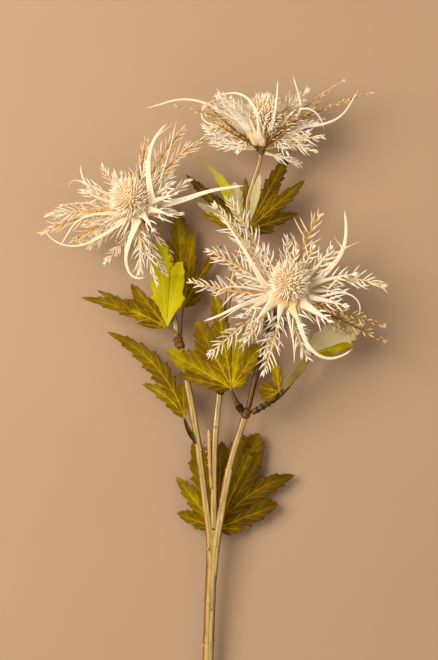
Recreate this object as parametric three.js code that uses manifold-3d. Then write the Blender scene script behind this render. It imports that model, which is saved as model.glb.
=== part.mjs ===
// A cream sea holly spray: one long stem that forks into three branches, toothed leaves at the forks,
// and three flower heads, each a spiny cone in a ruff of comb-toothed bracts and long curling straps.
// It lies on a table: X across, Y along the stem towards the heads, Z up. Millimetres and degrees.
// A direction in plan is counted from +X towards +Y.
import * as THREE from 'three';
import { mergeVertices } from 'three/addons/utils/BufferGeometryUtils.js';
import Module from 'manifold-3d';

const wasm = await Module();
wasm.setup();

// Driving sizes
const STEM_LENGTH = 324; // from the cut end to the fork
const FORK_Y = 14.6; // the fork's place along the spray, so that the middle of its length is at 0
const STEM_RADIUS = 3.3;
const STEM_RIDGE = 0.12; // how far the stem's two ridges stand out, as a share of its radius
const BRANCH_RADIUS = 2.3;
const TWIG_RADIUS = 1.45;
const TWIG_FOOT = 1.7; // radius at a twig's foot
const GAP = 0.3; // between pieces that touch on the real spray
const CLEAR = 0.8; // round a spiny cone, whose seat has flat facets
const STEM_SIDES = 8;
const STRAP_STEPS = 10;
const STRAP_THICK = 1.3;
const BRACT_TEETH = 6; // a side
const BRACT_THICK = 1.0;
const BRACT_BARE = 2; // stretches of rib without teeth, next to the hub
const BRACT_ROOT = 4; // how far from the hub's middle a bract starts, well inside it
const STRAP_ROOT = 6.5; // the same for a strap
const ROOT_SPREAD = 2.2; // how far above and below the hub's middle the bracts' roots lie
const LEAF_THICK = 0.9;
const FOOT_REACH = 0.22; // how far a leaf's foot goes on past its outer ribs, as a share of the lobe's length
const RIB_START = 0.3; // where a lobe's teeth begin along its rib
const FURTHEST_NOTCH = 0.85; // along a lobe
const TOOTH_BACK = 0.35; // how far a tooth's point lies before the end of its stretch of rib
const TOOTH_OUT = 1.25; // how far out it reaches, as a share of the lobe's half width
const NICK_BACK = 0.12; // the same for the nick behind it
const NICK_OUT = 0.72;
const HUB_RADIUS = 9.5;
const HUB_HALF = 4.6;
const CONE_CORE = 8.2;
const CONE_SPINE = 4.4;
const CONE_STRETCH = 0.42; // how much longer it is towards its tip
const CONE_SUNK = 1.5; // how deep it sits in the hub
const CONE_DETAIL = 2; // 180 spines round a whole ball
const CALYX_LENGTH = 9;

// Colours
const CREAM = 0xf0dcb4;
const PEACH = 0xe6c48e;
const TAN_STEM = 0xb8a062;
const DARK_TWIG = 0x5a4222;
const BROWN = 0x7a5a34;
const OLIVE = 0x6e6210;
const BRIGHT = 0xa9a012;
const SAGE = 0xa9a26c;

const UP = new THREE.Vector3(0, 0, 1);
const spray = new THREE.Group();
spray.position.y = FORK_Y;

// ---------- Small tools ----------

const radians = THREE.MathUtils.degToRad;
const mix = THREE.MathUtils.lerp;
const at = (x, y, z) => new THREE.Vector3(x, y, z);
const aim = (degrees) => at(Math.cos(radians(degrees)), Math.sin(radians(degrees)), 0);

// The same "random" numbers on every run.
function seeded(seed) {
  let state = seed;
  return () => {
    state = (state * 16807) % 2147483647;
    return state / 2147483647;
  };
}

function add(name, geometry, color, roughness = 0.7) {
  const material = new THREE.MeshStandardMaterial({ color, roughness, metalness: 0 });
  const mesh = new THREE.Mesh(geometry, material);
  mesh.name = name;
  spray.add(mesh);
}

function body(points, faces) {
  const geometry = new THREE.BufferGeometry();
  const places = points.flatMap((p) => [p.x, p.y, p.z]);
  geometry.setAttribute('position', new THREE.Float32BufferAttribute(places, 3));
  geometry.setIndex(faces.flat());
  return geometry;
}

function solid(geometry) {
  const bare = geometry.clone();
  bare.deleteAttribute('normal');
  bare.deleteAttribute('uv');
  const merged = mergeVertices(bare, 1e-5);
  const vertProperties = new Float32Array(merged.attributes.position.array);
  const triVerts = new Uint32Array(merged.index.array);
  return new wasm.Manifold(new wasm.Mesh({ numProp: 3, vertProperties, triVerts }));
}

// The largest connected shell of a joined solid: hollows that the joining sealed are filled.
function geometryOf(joined) {
  const largest = joined.decompose().reduce((a, b) => (b.volume() > a.volume() ? b : a));
  const { vertProperties, triVerts } = largest.getMesh();
  const geometry = new THREE.BufferGeometry();
  geometry.setAttribute('position', new THREE.BufferAttribute(new Float32Array(vertProperties), 3));
  geometry.setIndex(new THREE.BufferAttribute(new Uint32Array(triVerts), 1));
  return geometry;
}

const join = (geometries) => geometries.map(solid).reduce((a, b) => a.add(b));
const cut = (from, ...cutters) => cutters.map(solid).reduce((a, b) => a.subtract(b), from);

// What has been turned after a share of the way, when each entry is turned over an equal part of it.
function turned(parts, share) {
  return parts.reduce((sum, part, i) => sum + part * Math.min(Math.max(share * parts.length - i, 0), 1), 0);
}

// A line that grows from a foot: it heads one way in plan, climbs, and both change by parts on the way.
function grow({ foot, heading, climb = 0, length, turn = [0], lift = [0] }, steps) {
  const line = [foot.clone()];
  for (let i = 0; i < steps; i++) {
    const share = (i + 0.5) / steps;
    const rise = radians(climb + turned(lift, share));
    const step = aim(heading + turned(turn, share)).multiplyScalar(Math.cos(rise));
    step.z = Math.sin(rise);
    line.push(line[i].clone().addScaledVector(step, length / steps));
  }
  return line;
}

// At each point of a line: along it, across it to the right, and its upper face's direction.
function frames(line, roll = 0) {
  return line.map((p, i) => {
    const along = line[Math.min(i + 1, line.length - 1)].clone().sub(line[Math.max(i - 1, 0)]).normalize();
    const across = along.clone().cross(UP).normalize().applyAxisAngle(along, radians(roll));
    return { along, across, face: across.clone().cross(along) };
  });
}

// ---------- Stems ----------

// A round or ridged rod with flat ends. Its radius goes from the first value to the last along it.
function rod(points, radii, { sides = STEM_SIDES, steps = 3 * points.length, ridge = 0 } = {}) {
  const line = new THREE.CatmullRomCurve3(points, false, 'centripetal').getPoints(steps);
  const frame = frames(line);
  const rings = line.map((p, i) => {
    const radius = mix(radii[0], radii[1], i / steps);
    return [...Array(sides).keys()].map((k) => {
      const angle = (2 * Math.PI * (k + 0.5)) / sides;
      const reach = radius * (1 + ridge * Math.cos(2 * angle));
      return p.clone().addScaledVector(frame[i].across, reach * Math.cos(angle))
        .addScaledVector(frame[i].face, reach * Math.sin(angle));
    });
  });
  const points3 = [...rings.flat(), line[0], line[steps]];
  const faces = [];
  for (let k = 0; k < sides; k++) {
    const next = (k + 1) % sides;
    for (let i = 0; i < steps; i++) {
      const [a, b, c, d] = [i * sides + k, i * sides + next, (i + 1) * sides + next, (i + 1) * sides + k];
      faces.push([a, c, b], [a, d, c]);
    }
    faces.push([points3.length - 2, k, next], [points3.length - 1, steps * sides + next, steps * sides + k]);
  }
  return body(points3, faces);
}

// A barrel on an axis, from its foot: the profile is [radius, height] pairs.
function barrel(foot, axis, profile) {
  const outline = [[0, profile[0][1]], ...profile, [0, profile.at(-1)[1]]];
  const shape = new THREE.LatheGeometry(outline.map(([r, h]) => new THREE.Vector2(r, h)), 10);
  shape.applyQuaternion(new THREE.Quaternion().setFromUnitVectors(at(0, 1, 0), axis));
  shape.translate(foot.x, foot.y, foot.z);
  return shape;
}

// ---------- Leaves ----------

// A leaf of lobes that fan out from one place. A lobe is { toward, length, half, teeth, bend, web, taper }:
// half is its half width, and web is how far out its notch with the next lobe lies, as a share of the shorter
// of the two. Lobes go anticlockwise. Each lobe's rib is a crease, its sides rise, and its tip droops.
// spread is how far round the leaf's foot goes on, past its first and its last rib.
function leaf({ base, slope = [0, 0], lobes, fold = 0.12, droop = 0.1, bulge = 0.3, spread = 55 }) {
  const foot = at(base.x, base.y, 0);
  const lay = (x, y, lobe, share, off) => {
    const z = slope[0] * (x - base.x) + slope[1] * (y - base.y) + fold * off;
    return at(x, y, base.z + z - droop * lobe.length * share * share);
  };
  const rib = (lobe, share) => {
    const bend = lobe.bend ?? 0;
    const heading = lobe.toward - bend / 2;
    return grow({ foot, heading, length: lobe.length * share, turn: [bend * share] }, 4).at(-1);
  };
  const notch = (a, b) => {
    const reach = (a.web ?? 0.5) * Math.min(a.length, b.length);
    const p = rib(a, reach / a.length).lerp(rib(b, reach / b.length), 0.5);
    return lay(p.x, p.y, a, reach / a.length, p.distanceTo(rib(a, reach / a.length)));
  };
  const side = (lobe, turn) => {
    const p = foot.clone().addScaledVector(aim(lobe.toward + turn), FOOT_REACH * lobe.length);
    return lay(p.x, p.y, lobe, FOOT_REACH, 0.1 * lobe.length);
  };
  const notches = [side(lobes[0], -spread)];
  lobes.slice(1).forEach((lobe, i) => notches.push(notch(lobes[i], lobe)));
  notches.push(side(lobes.at(-1), spread));
  return lobes.map((lobe, i) => leafLobe(lobe, base, notches[i], notches[i + 1], { lay, rib, bulge }));
}

// One lobe, from the leaf's foot between two notches to its tip: a tooth and a nick for each stretch of rib.
function leafLobe(lobe, base, rightNotch, leftNotch, { lay, rib, bulge }) {
  const points = [base];
  const top = [];
  const put = (p) => points.push(p) - 1;
  const ribs = [0];
  for (let k = 1; k <= lobe.teeth; k++) {
    const share = mix(RIB_START, 1, k / lobe.teeth);
    const p = rib(lobe, share);
    ribs.push(put(lay(p.x, p.y, lobe, share, 0)));
  }
  const half = (from, sign) => {
    const first = Math.min(Math.hypot(from.x - base.x, from.y - base.y) / lobe.length, FURTHEST_NOTCH);
    const border = [put(from)];
    const spot = (share, size) => {
      const p = rib(lobe, share);
      const along = rib(lobe, share).sub(rib(lobe, share - 0.05)).normalize();
      const way = (share - first) / (1 - first);
      const off = size * lobe.half * ((1 - way) ** (lobe.taper ?? 0.8) + bulge * Math.sin(Math.PI * way));
      p.addScaledVector(at(along.y, -along.x, 0), sign * off);
      return put(lay(p.x, p.y, lobe, share, off));
    };
    for (let k = 1; k <= lobe.teeth; k++) {
      border.push(spot(mix(first, 1, (k - TOOTH_BACK) / lobe.teeth), TOOTH_OUT));
      if (k < lobe.teeth) {
        border.push(spot(mix(first, 1, (k - NICK_BACK) / lobe.teeth), NICK_OUT));
      }
    }
    const turn = (a, b, c) => top.push(sign > 0 ? [a, b, c] : [a, c, b]);
    turn(0, border[0], ribs[1]);
    for (let k = 1; k <= lobe.teeth; k++) {
      const [before, tooth, nick] = [border[2 * k - 2], border[2 * k - 1], border[2 * k]];
      if (k > 1) {
        turn(ribs[k - 1], before, ribs[k]);
      }
      turn(before, tooth, ribs[k]);
      if (k < lobe.teeth) {
        turn(tooth, nick, ribs[k]);
      }
    }
    return border;
  };
  const edge = [0, ...half(rightNotch, 1), ribs.at(-1), ...half(leftNotch, -1).reverse()];
  const count = points.length;
  const lift = LEAF_THICK / 2;
  const raised = (by) => points.map((p) => p.clone().setZ(p.z + by));
  const faces = [...top, ...top.map(([a, b, c]) => [a + count, c + count, b + count])];
  edge.forEach((p, i) => {
    const q = edge[(i + 1) % edge.length];
    faces.push([p, p + count, q + count], [p, q + count, q]);
  });
  return body([...raised(lift), ...raised(-lift)], faces);
}

// ---------- Flower heads ----------

// A strap: flat, widest near its foot, and drawn out to a fine tip. Its section is a flat diamond.
function strap(line, wide, roll = 0) {
  const frame = frames(line, roll);
  const last = line.length - 1;
  const points = [];
  for (let i = 0; i < last; i++) {
    const share = i / last;
    const swell = share < 0.15 ? mix(0.55, 1, share / 0.15) : mix(1, 0.22, ((share - 0.15) / 0.85) ** 0.55);
    const half = (wide * swell) / 2;
    const thick = STRAP_THICK * mix(0.5, 0.3, share);
    points.push(line[i].clone().addScaledVector(frame[i].across, half),
      line[i].clone().addScaledVector(frame[i].face, thick),
      line[i].clone().addScaledVector(frame[i].across, -half),
      line[i].clone().addScaledVector(frame[i].face, -thick));
  }
  points.push(line[last]);
  const faces = [[0, 1, 2], [0, 2, 3]];
  for (let k = 0; k < 4; k++) {
    const next = (k + 1) % 4;
    for (let i = 0; i < last - 1; i++) {
      const [a, b, c, d] = [4 * i + k, 4 * i + next, 4 * i + 4 + next, 4 * i + 4 + k];
      faces.push([a, d, c], [a, c, b]);
    }
    faces.push([4 * (last - 1) + next, 4 * (last - 1) + k, points.length - 1]);
  }
  return body(points, faces);
}

// A comb bract: a narrow rib with a row of forward-leaning teeth down each side.
function bract(line, wide, roll, random) {
  const frame = frames(line, roll);
  const last = line.length - 1;
  const corners = [];
  const rib = (i) => 0.5 * mix(1.6, 0.8, i / last);
  for (let i = 0; i < last; i++) {
    const thick = 0.5 * mix(BRACT_THICK, 0.7, i / last);
    for (const [side, rise] of [[-1, 1], [1, 1], [1, -1], [-1, -1]]) {
      corners.push(line[i].clone().addScaledVector(frame[i].across, side * rib(i))
        .addScaledVector(frame[i].face, rise * thick));
    }
  }
  const faces = [[0, 3, 2], [0, 2, 1]];
  const points = [...corners];
  for (let i = 0; i < last - 1; i++) {
    const [lt, rt, rb, lb] = [0, 1, 2, 3].map((k) => 4 * i + k);
    const [lt2, rt2, rb2, lb2] = [lt, rt, rb, lb].map((k) => k + 4);
    faces.push([rt, rt2, lt2], [rt, lt2, lt], [rb, lb, lb2], [rb, lb2, rb2]);
    if (i < BRACT_BARE) {
      faces.push([rt, rb, rb2], [rt, rb2, rt2], [lt, lt2, lb2], [lt, lb2, lb]);
      continue;
    }
    const share = (i + 1) / last;
    const size = wide * 0.5 * Math.sin(Math.PI * (0.22 + 0.7 * share)) * mix(0.8, 1.15, random());
    const tooth = (side) => {
      const lean = mix(0.75, 1.25, random()) * size;
      const tip = line[i].clone().lerp(line[i + 1], 0.7)
        .addScaledVector(frame[i].across, side * (size + rib(i)))
        .addScaledVector(frame[i].along, lean).addScaledVector(frame[i].face, 0.35 * size * (random() - 0.3));
      return points.push(tip) - 1;
    };
    const r = tooth(1);
    const l = tooth(-1);
    faces.push([rt, r, rt2], [rb, rb2, r], [r, rt, rb], [rt2, r, rb2]);
    faces.push([lt2, l, lt], [lb, l, lb2], [lt, l, lb], [l, lt2, lb2]);
  }
  const end = 4 * (last - 1);
  const tip = points.push(line[last]) - 1;
  faces.push([end, end + 1, tip], [end + 3, end, tip], [end + 2, end + 3, tip], [end + 1, end + 2, tip]);
  return body(points, faces);
}

// A ball whose every face is drawn out to a spine, finest on the open side of its axis.
function spinyCone(centre, axis) {
  const ball = new THREE.IcosahedronGeometry(1, CONE_DETAIL);
  const corners = ball.attributes.position;
  const points = [];
  const faces = [];
  const stretch = (p) => 1 + CONE_STRETCH * Math.max(p.dot(axis), 0);
  for (let i = 0; i < corners.count; i += 3) {
    const face = [0, 1, 2].map((k) => new THREE.Vector3().fromBufferAttribute(corners, i + k));
    const middle = face[0].clone().add(face[1]).add(face[2]).normalize();
    const spine = CONE_SPINE * Math.min(Math.max(0.55 + middle.dot(axis), 0.08), 1);
    const start = points.length;
    face.forEach((p) => points.push(p.clone().multiplyScalar(CONE_CORE * stretch(p)).add(centre)));
    points.push(middle.clone().multiplyScalar(CONE_CORE * stretch(middle) + spine).add(centre));
    for (let k = 0; k < 3; k++) {
      faces.push([start + k, start + ((k + 1) % 3), start + 3]);
    }
  }
  return mergeVertices(body(points, faces), 1e-4);
}

// The smooth room that a spiny cone takes, with clearance all round.
function coneRoom(centre, axis) {
  const ball = new THREE.IcosahedronGeometry(1, 3);
  const corners = ball.attributes.position;
  for (let i = 0; i < corners.count; i++) {
    const p = new THREE.Vector3().fromBufferAttribute(corners, i);
    const spine = CONE_SPINE * Math.min(Math.max(0.55 + p.dot(axis), 0.08), 1);
    const reach = CONE_CORE * (1 + CONE_STRETCH * Math.max(p.dot(axis), 0)) + spine + CLEAR;
    p.multiplyScalar(reach).add(centre);
    corners.setXYZ(i, p.x, p.y, p.z);
  }
  return ball;
}

// The disc that bracts and straps grow from, flattened along the head's axis.
function hubDisc(centre, axis) {
  const disc = new THREE.SphereGeometry(HUB_RADIUS, 12, 6);
  disc.scale(1, HUB_HALF / HUB_RADIUS, 1);
  disc.applyQuaternion(new THREE.Quaternion().setFromUnitVectors(at(0, 1, 0), axis));
  disc.translate(centre.x, centre.y, centre.z);
  return disc;
}

const table = new THREE.BoxGeometry(400, 800, 40).translate(0, 0, -20);

// A head's places, along its axis from the middle of its hub.
function places(head) {
  const along = (distance) => head.hub.clone().addScaledVector(head.axis, distance);
  return {
    cone: along(HUB_HALF + CONE_CORE - CONE_SUNK),
    calyxTop: along(-HUB_HALF - GAP),
    calyxFoot: along(-HUB_HALF - GAP - CALYX_LENGTH),
    twigTop: along(-HUB_HALF - 2 * GAP - CALYX_LENGTH),
  };
}

function buildHead(name, head) {
  const { cone, calyxFoot } = places(head);
  const random = seeded(head.seed);
  const parts = [hubDisc(head.hub, head.axis)];
  const across = at(1, 0, 0).projectOnPlane(head.axis).normalize();
  const onDisc = (angle, radius) => across.clone().applyAxisAngle(head.axis, radians(angle))
    .multiplyScalar(radius).add(head.hub);
  for (const [toward, reach, climb, turn, lift, wide = 9] of head.bracts) {
    const foot = aim(toward).projectOnPlane(head.axis).normalize().multiplyScalar(BRACT_ROOT).add(head.hub);
    foot.addScaledVector(head.axis, mix(-ROOT_SPREAD, ROOT_SPREAD, random()));
    const line = grow({ foot, heading: toward - turn / 2, climb, length: reach - BRACT_ROOT, turn: [turn],
      lift: [lift] }, BRACT_BARE + BRACT_TEETH + 1);
    parts.push(bract(line, wide, mix(-22, 22, random()), random));
  }
  for (const way of head.straps) {
    const foot = onDisc(way.root, STRAP_ROOT).addScaledVector(head.axis, 1);
    const line = grow({ ...way, foot }, STRAP_STEPS);
    parts.push(strap(line, way.wide ?? 4));
    for (const fork of way.forks ?? []) {
      const from = line[Math.round(fork.share * STRAP_STEPS)].clone();
      parts.push(strap(grow({ ...fork, foot: from }, 5), fork.wide ?? 1.6));
    }
  }
  const joined = cut(join(parts), coneRoom(cone, head.axis), table);
  add(`${name}_head_bracts`, geometryOf(joined), CREAM, 0.75);
  add(`${name}_head_cone`, spinyCone(cone, head.axis), PEACH, 0.85);
  const profile = [[2.1, 0], [3.0, 1.6], [2.6, 3.2], [4.0, 6.4], [4.6, CALYX_LENGTH]];
  add(`${name}_head_calyx`, barrel(calyxFoot, head.axis, profile), BROWN, 0.8);
}

// Bract rows are: direction, reach from the hub's middle, climb, turn on the way, lift on the way, width.
const HEADS = {
  left: {
    seed: 95,
    hub: at(-49.8, 207.5, 31),
    axis: at(-0.28, 0.6, 0.75).normalize(),
    bracts: [
      [174, 50, 14, 36, -20], [184, 56, 8, 10, -8, 10], [194, 63, 2, 24, -6, 10], [205, 46, 20, 20, -24],
      [218, 38, 18, 10, -20], [127, 36, -2, -20, 6], [84, 47, -2, -14, 2, 10], [60, 61, -2, -26, -8, 10],
      [46, 64, 4, -34, -6, 10], [31, 39, 2, 20, -6], [-86, 42, 26, -18, -24, 10], [-74, 50, 18, 8, -18],
      [-5, 28, 10, 14, -6], [152, 43, -48, 6, -14], [237, 43, -52, 0, -10], [100, 43, -48, 0, -14],
    ],
    straps: [
      { root: -25, heading: -15, climb: 40, length: 68, turn: [118, -6, -6, -14, -20, -12],
        lift: [-5, -25, -15, -5, -10, -5], wide: 8,
        forks: [{ share: 0.82, heading: 38, climb: -10, length: 14 }] },
      { root: -80, heading: 262, climb: 40, length: 52,
        turn: [-14, 10, 40, 100], lift: [-36, -16, 0, 10], wide: 7 },
      { root: 190, heading: 160, climb: 30, length: 46, turn: [-12, -18, -40], lift: [-20, -16, -8], wide: 5,
        forks: [{ share: 0.72, heading: 155, climb: 0, length: 14, turn: [20, 100], lift: [-10] }] },
      { root: 235, heading: 218, climb: 18, length: 66, turn: [-3, -12, -40, -48], lift: [-16, -8] },
      { root: 200, heading: 186, climb: 28, length: 54, turn: [-8, 20, 40, 0], lift: [-20, -20] },
      { root: 10, heading: 0, climb: 14, length: 66, turn: [12, 8, -10, -4], lift: [-8, -6], wide: 7 },
      { root: 35, heading: 40, climb: 8, length: 58, turn: [30, 5, 3], lift: [-4], wide: 3 },
    ],
  },
  top: {
    seed: 30,
    hub: at(32, 257, 31),
    axis: at(0.12, 0.93, 0.35).normalize(),
    bracts: [
      [160, 59, 8, 20, -10, 10], [156, 41, -8, 10, 0], [176, 38, 14, -20, -14], [136, 37, 18, 12, -16, 10],
      [48, 41, 6, -8, -8], [22, 76, 4, -12, -8, 10], [37, 65, -4, -10, -2, 10], [-3, 38, 14, 16, -12],
      [-20, 35, 2, 10, -4], [126, 43, -50, 0, -12], [60, 43, -50, 0, -12], [38, 27, 40, 10, -20],
    ],
    straps: [
      { root: 190, heading: 165, climb: 18, length: 76,
        turn: [-22, 6, 24, 24, -2], lift: [-10, -14], wide: 5 },
      { root: -100, heading: 98, climb: 63, length: 54,
        turn: [6, 26, 54, 14], lift: [-40, -34, -6, -5], wide: 5 },
      { root: -60, heading: 68, climb: 58, length: 39, turn: [12, 10], lift: [-50, -18], wide: 5 },
      { root: 0, heading: 8, climb: 8, length: 47, turn: [40, 56, 4], lift: [-8], wide: 5 },
      { root: -30, heading: 42, climb: 26, length: 48, turn: [10, -28, -66, -44], lift: [-18, -14] },
      { root: 10, heading: 2, climb: 8, length: 66, turn: [14, -12, 20, 34, 4], lift: [-8, -4], wide: 5 },
      { root: 170, heading: 175, climb: 0, length: 52, turn: [-6, 10, -30, -100, -30], lift: [4, 4] },
    ],
  },
  right: {
    seed: 40,
    hub: at(46, 152, 37),
    axis: at(0.25, 0.7, 0.67).normalize(),
    bracts: [
      [126, 76, 12, 10, -10, 10], [119, 71, 4, 6, -4, 10], [149, 57, 12, 10, -14, 10],
      [172, 61, 2, -16, -2, 10], [86, 39, -8, 8, 4], [67, 56, -2, -12, 0, 10],
      [8, 68, 8, -58, -8, 10], [-17, 67, 10, -6, -10, 10], [-24, 70, 2, -6, -2, 10],
      [218, 62, 26, 8, -26, 10], [254, 55, 28, -8, -22, 10], [-71, 42, 20, 10, -20],
      [41, 42, 6, 10, -8], [229, 42, 34, 6, -30], [138, 49, -52, 0, -8], [50, 49, -52, 0, -8],
      [92, 49, -54, 0, -8],
    ],
    straps: [
      { root: 170, heading: 160, climb: 30, length: 63, turn: [-42, 2, 4, 0], lift: [-20, -16], wide: 7 },
      { root: 200, heading: 192, climb: 40, length: 52, turn: [4, 12, -12], lift: [-36, -14], wide: 7,
        forks: [{ share: 0.45, heading: 214, climb: 4, length: 20, lift: [-20], wide: 2.4 }] },
      { root: -60, heading: 310, climb: 45, length: 67,
        turn: [-28, 8, 32, 50, 30], lift: [-38, -18, 0], wide: 7 },
      { root: -20, heading: -5, climb: 22, length: 53, turn: [15, 5, -50, -80], lift: [-16, -12] },
      { root: 10, heading: 33, climb: 10, length: 69, turn: [4, 14, 34, 16], lift: [-6, -4], wide: 5,
        forks: [{ share: 0.64, heading: 127, climb: 0, length: 10 },
          { share: 0.64, heading: 24, climb: 0, length: 12 }] },
      { root: 165, heading: 182, climb: 16, length: 44, turn: [-15, 15, 70], lift: [-16], wide: 3.4 },
      { root: -85, heading: 275, climb: 36, length: 42, turn: [8, -16], lift: [-44], wide: 4 },
    ],
  },
};

// ---------- The spray ----------

const FORK = at(0, 0, 16.5);
const left = places(HEADS.left);
const top = places(HEADS.top);
const right = places(HEADS.right);

// Stem routes, from below upwards. The long stem comes up from the table to the fork.
const stemEnd = at(-9, -STEM_LENGTH, STEM_RADIUS * 0.82);
const MAIN = [stemEnd, at(-6, -206, 7), at(-3.5, -85, 11), at(-0.8, -12, 15.5), FORK];
const LEFT = [at(-2.6, -1, 17), at(-5, 16, 18), at(-8.6, 45, 20), at(-12, 68, 21), at(-19, 107, 22),
  at(-21, 117, 22)];
const MIDDLE = [at(0.2, 1, 17), at(0.2, 26, 19.5), at(0.8, 58, 20.5), at(2.6, 78, 20.5), at(4, 91, 20.5),
  at(8, 140, 20), at(16, 177, 22.5), at(20.4, 188, 24)];
const RIGHT = [at(3, -1, 17), at(6.5, 20, 19.5), at(10.2, 40, 22), at(14.2, 55, 24), at(18.4, 68, 26),
  at(19.8, 73, 26.6)];
const COLLARS = {
  left: { foot: at(-21.1, 117.4, 22), axis: at(-0.28, 0.95, 0.02).normalize(), length: 9 },
  right: { foot: at(19.9, 73.4, 26.7), axis: at(0.4, 0.9, 0.1).normalize(), length: 6 },
  top: { foot: at(20.6, 188.4, 24.1), axis: at(0.22, 0.97, 0.05).normalize(), length: 7 },
};
const barrelRoom = (c) => barrel(c.foot, c.axis, [[3.7, -GAP], [3.7, c.length + 0.9 * GAP]]);
const collarTop = (c, extra = GAP) => c.foot.clone().addScaledVector(c.axis, c.length + extra);
const leftSplit = collarTop(COLLARS.left);
const rightSplit = collarTop(COLLARS.right);
const topSplit = collarTop(COLLARS.top);
const beforeCalyx = (head, way = 7) => places(head).twigTop.clone().addScaledVector(head.axis, -way);
const LEFT_TWIG = [leftSplit, at(-26.5, 142, 21), at(-34, 168, 17), beforeCalyx(HEADS.left), left.twigTop];
const TOP_TWIG = [topSplit, at(22.4, 214, 23), beforeCalyx(HEADS.top), top.twigTop];
const CENTRE_TWIG = [rightSplit, at(27, 98, 25.5), at(33, 122, 22), beforeCalyx(HEADS.right), right.twigTop];
const OUTER_TWIG = [at(25.2, 76.6, 26.4), at(32, 80.5, 27.5), at(44, 89, 28.5), at(56, 104, 28.5),
  at(62, 112.5, 28)];
const INNER_TWIG = [at(18.6, 77.2, 28.4), at(14.6, 84, 28.8), at(11.6, 90.4, 28.6)];

// The room that a rod takes, with the gap round it.
const room = (points, radius) => rod(points, [radius + GAP, radius + GAP], { steps: 12 });

// The long stem, or the room that it takes when it is built fatter and longer by the gap.
function longStem(extra = 0) {
  const size = STEM_RADIUS + extra;
  const last = FORK.clone().add(at(0.05, 1, 0.05).multiplyScalar(extra));
  return rod([...MAIN.slice(0, -1), last], [size, size], { sides: 10, steps: 14, ridge: STEM_RIDGE });
}

function buildStems() {
  add('main_stem', geometryOf(cut(solid(longStem()), table)), TAN_STEM, 0.5);
  const mainRoom = longStem(GAP);
  const middle = rod(MIDDLE, [BRANCH_RADIUS, 1.9], { steps: 13 });
  const middleRoom = room(MIDDLE, BRANCH_RADIUS);
  add('middle_branch', geometryOf(cut(solid(middle), mainRoom)), TAN_STEM, 0.5);
  const rightRod = rod(RIGHT, [BRANCH_RADIUS, BRANCH_RADIUS], { steps: 10 });
  add('right_branch', geometryOf(cut(solid(rightRod), mainRoom, middleRoom)), TAN_STEM, 0.5);
  const leftRod = rod(LEFT, [BRANCH_RADIUS, BRANCH_RADIUS], { steps: 12 });
  add('left_branch', geometryOf(cut(solid(leftRod), mainRoom, middleRoom)), TAN_STEM, 0.5);
  for (const [name, collar] of Object.entries(COLLARS)) {
    const l = collar.length;
    const profile = [[2.7, 0], [3.3, 0.8], [3.3, l * 0.45], [2.8, l * 0.5], [3.4, l * 0.62], [2.9, l]];
    add(`${name}_collar`, barrel(collar.foot, collar.axis, profile), DARK_TWIG, 0.6);
  }
  const calyxRoom = (head) => barrel(places(head).calyxFoot, head.axis, [[5, -GAP], [5, CALYX_LENGTH]]);
  const twig = (name, points, radii, cutters, color) => {
    add(name, geometryOf(cut(solid(rod(points, radii, { steps: 9 })), ...cutters)), color, 0.55);
  };
  const collarRoom = barrelRoom(COLLARS.right);
  const topRoom = barrelRoom(COLLARS.top);
  const centreRoom = room(CENTRE_TWIG, TWIG_FOOT);
  twig('left_twig', LEFT_TWIG, [1.8, TWIG_RADIUS], [calyxRoom(HEADS.left)], TAN_STEM);
  twig('top_twig', TOP_TWIG, [1.6, 1.3], [topRoom, calyxRoom(HEADS.top)], TAN_STEM);
  const centreRooms = [collarRoom, calyxRoom(HEADS.right)];
  twig('centre_twig', CENTRE_TWIG, [TWIG_FOOT, TWIG_RADIUS], centreRooms, DARK_TWIG);
  twig('outer_twig', OUTER_TWIG, [TWIG_FOOT, 1.3], [collarRoom, centreRoom], DARK_TWIG);
  const innerRooms = [collarRoom, centreRoom, room(RIGHT, BRANCH_RADIUS)];
  twig('inner_twig', INNER_TWIG, [2.2, 0.9], innerRooms, DARK_TWIG);
}

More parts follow.
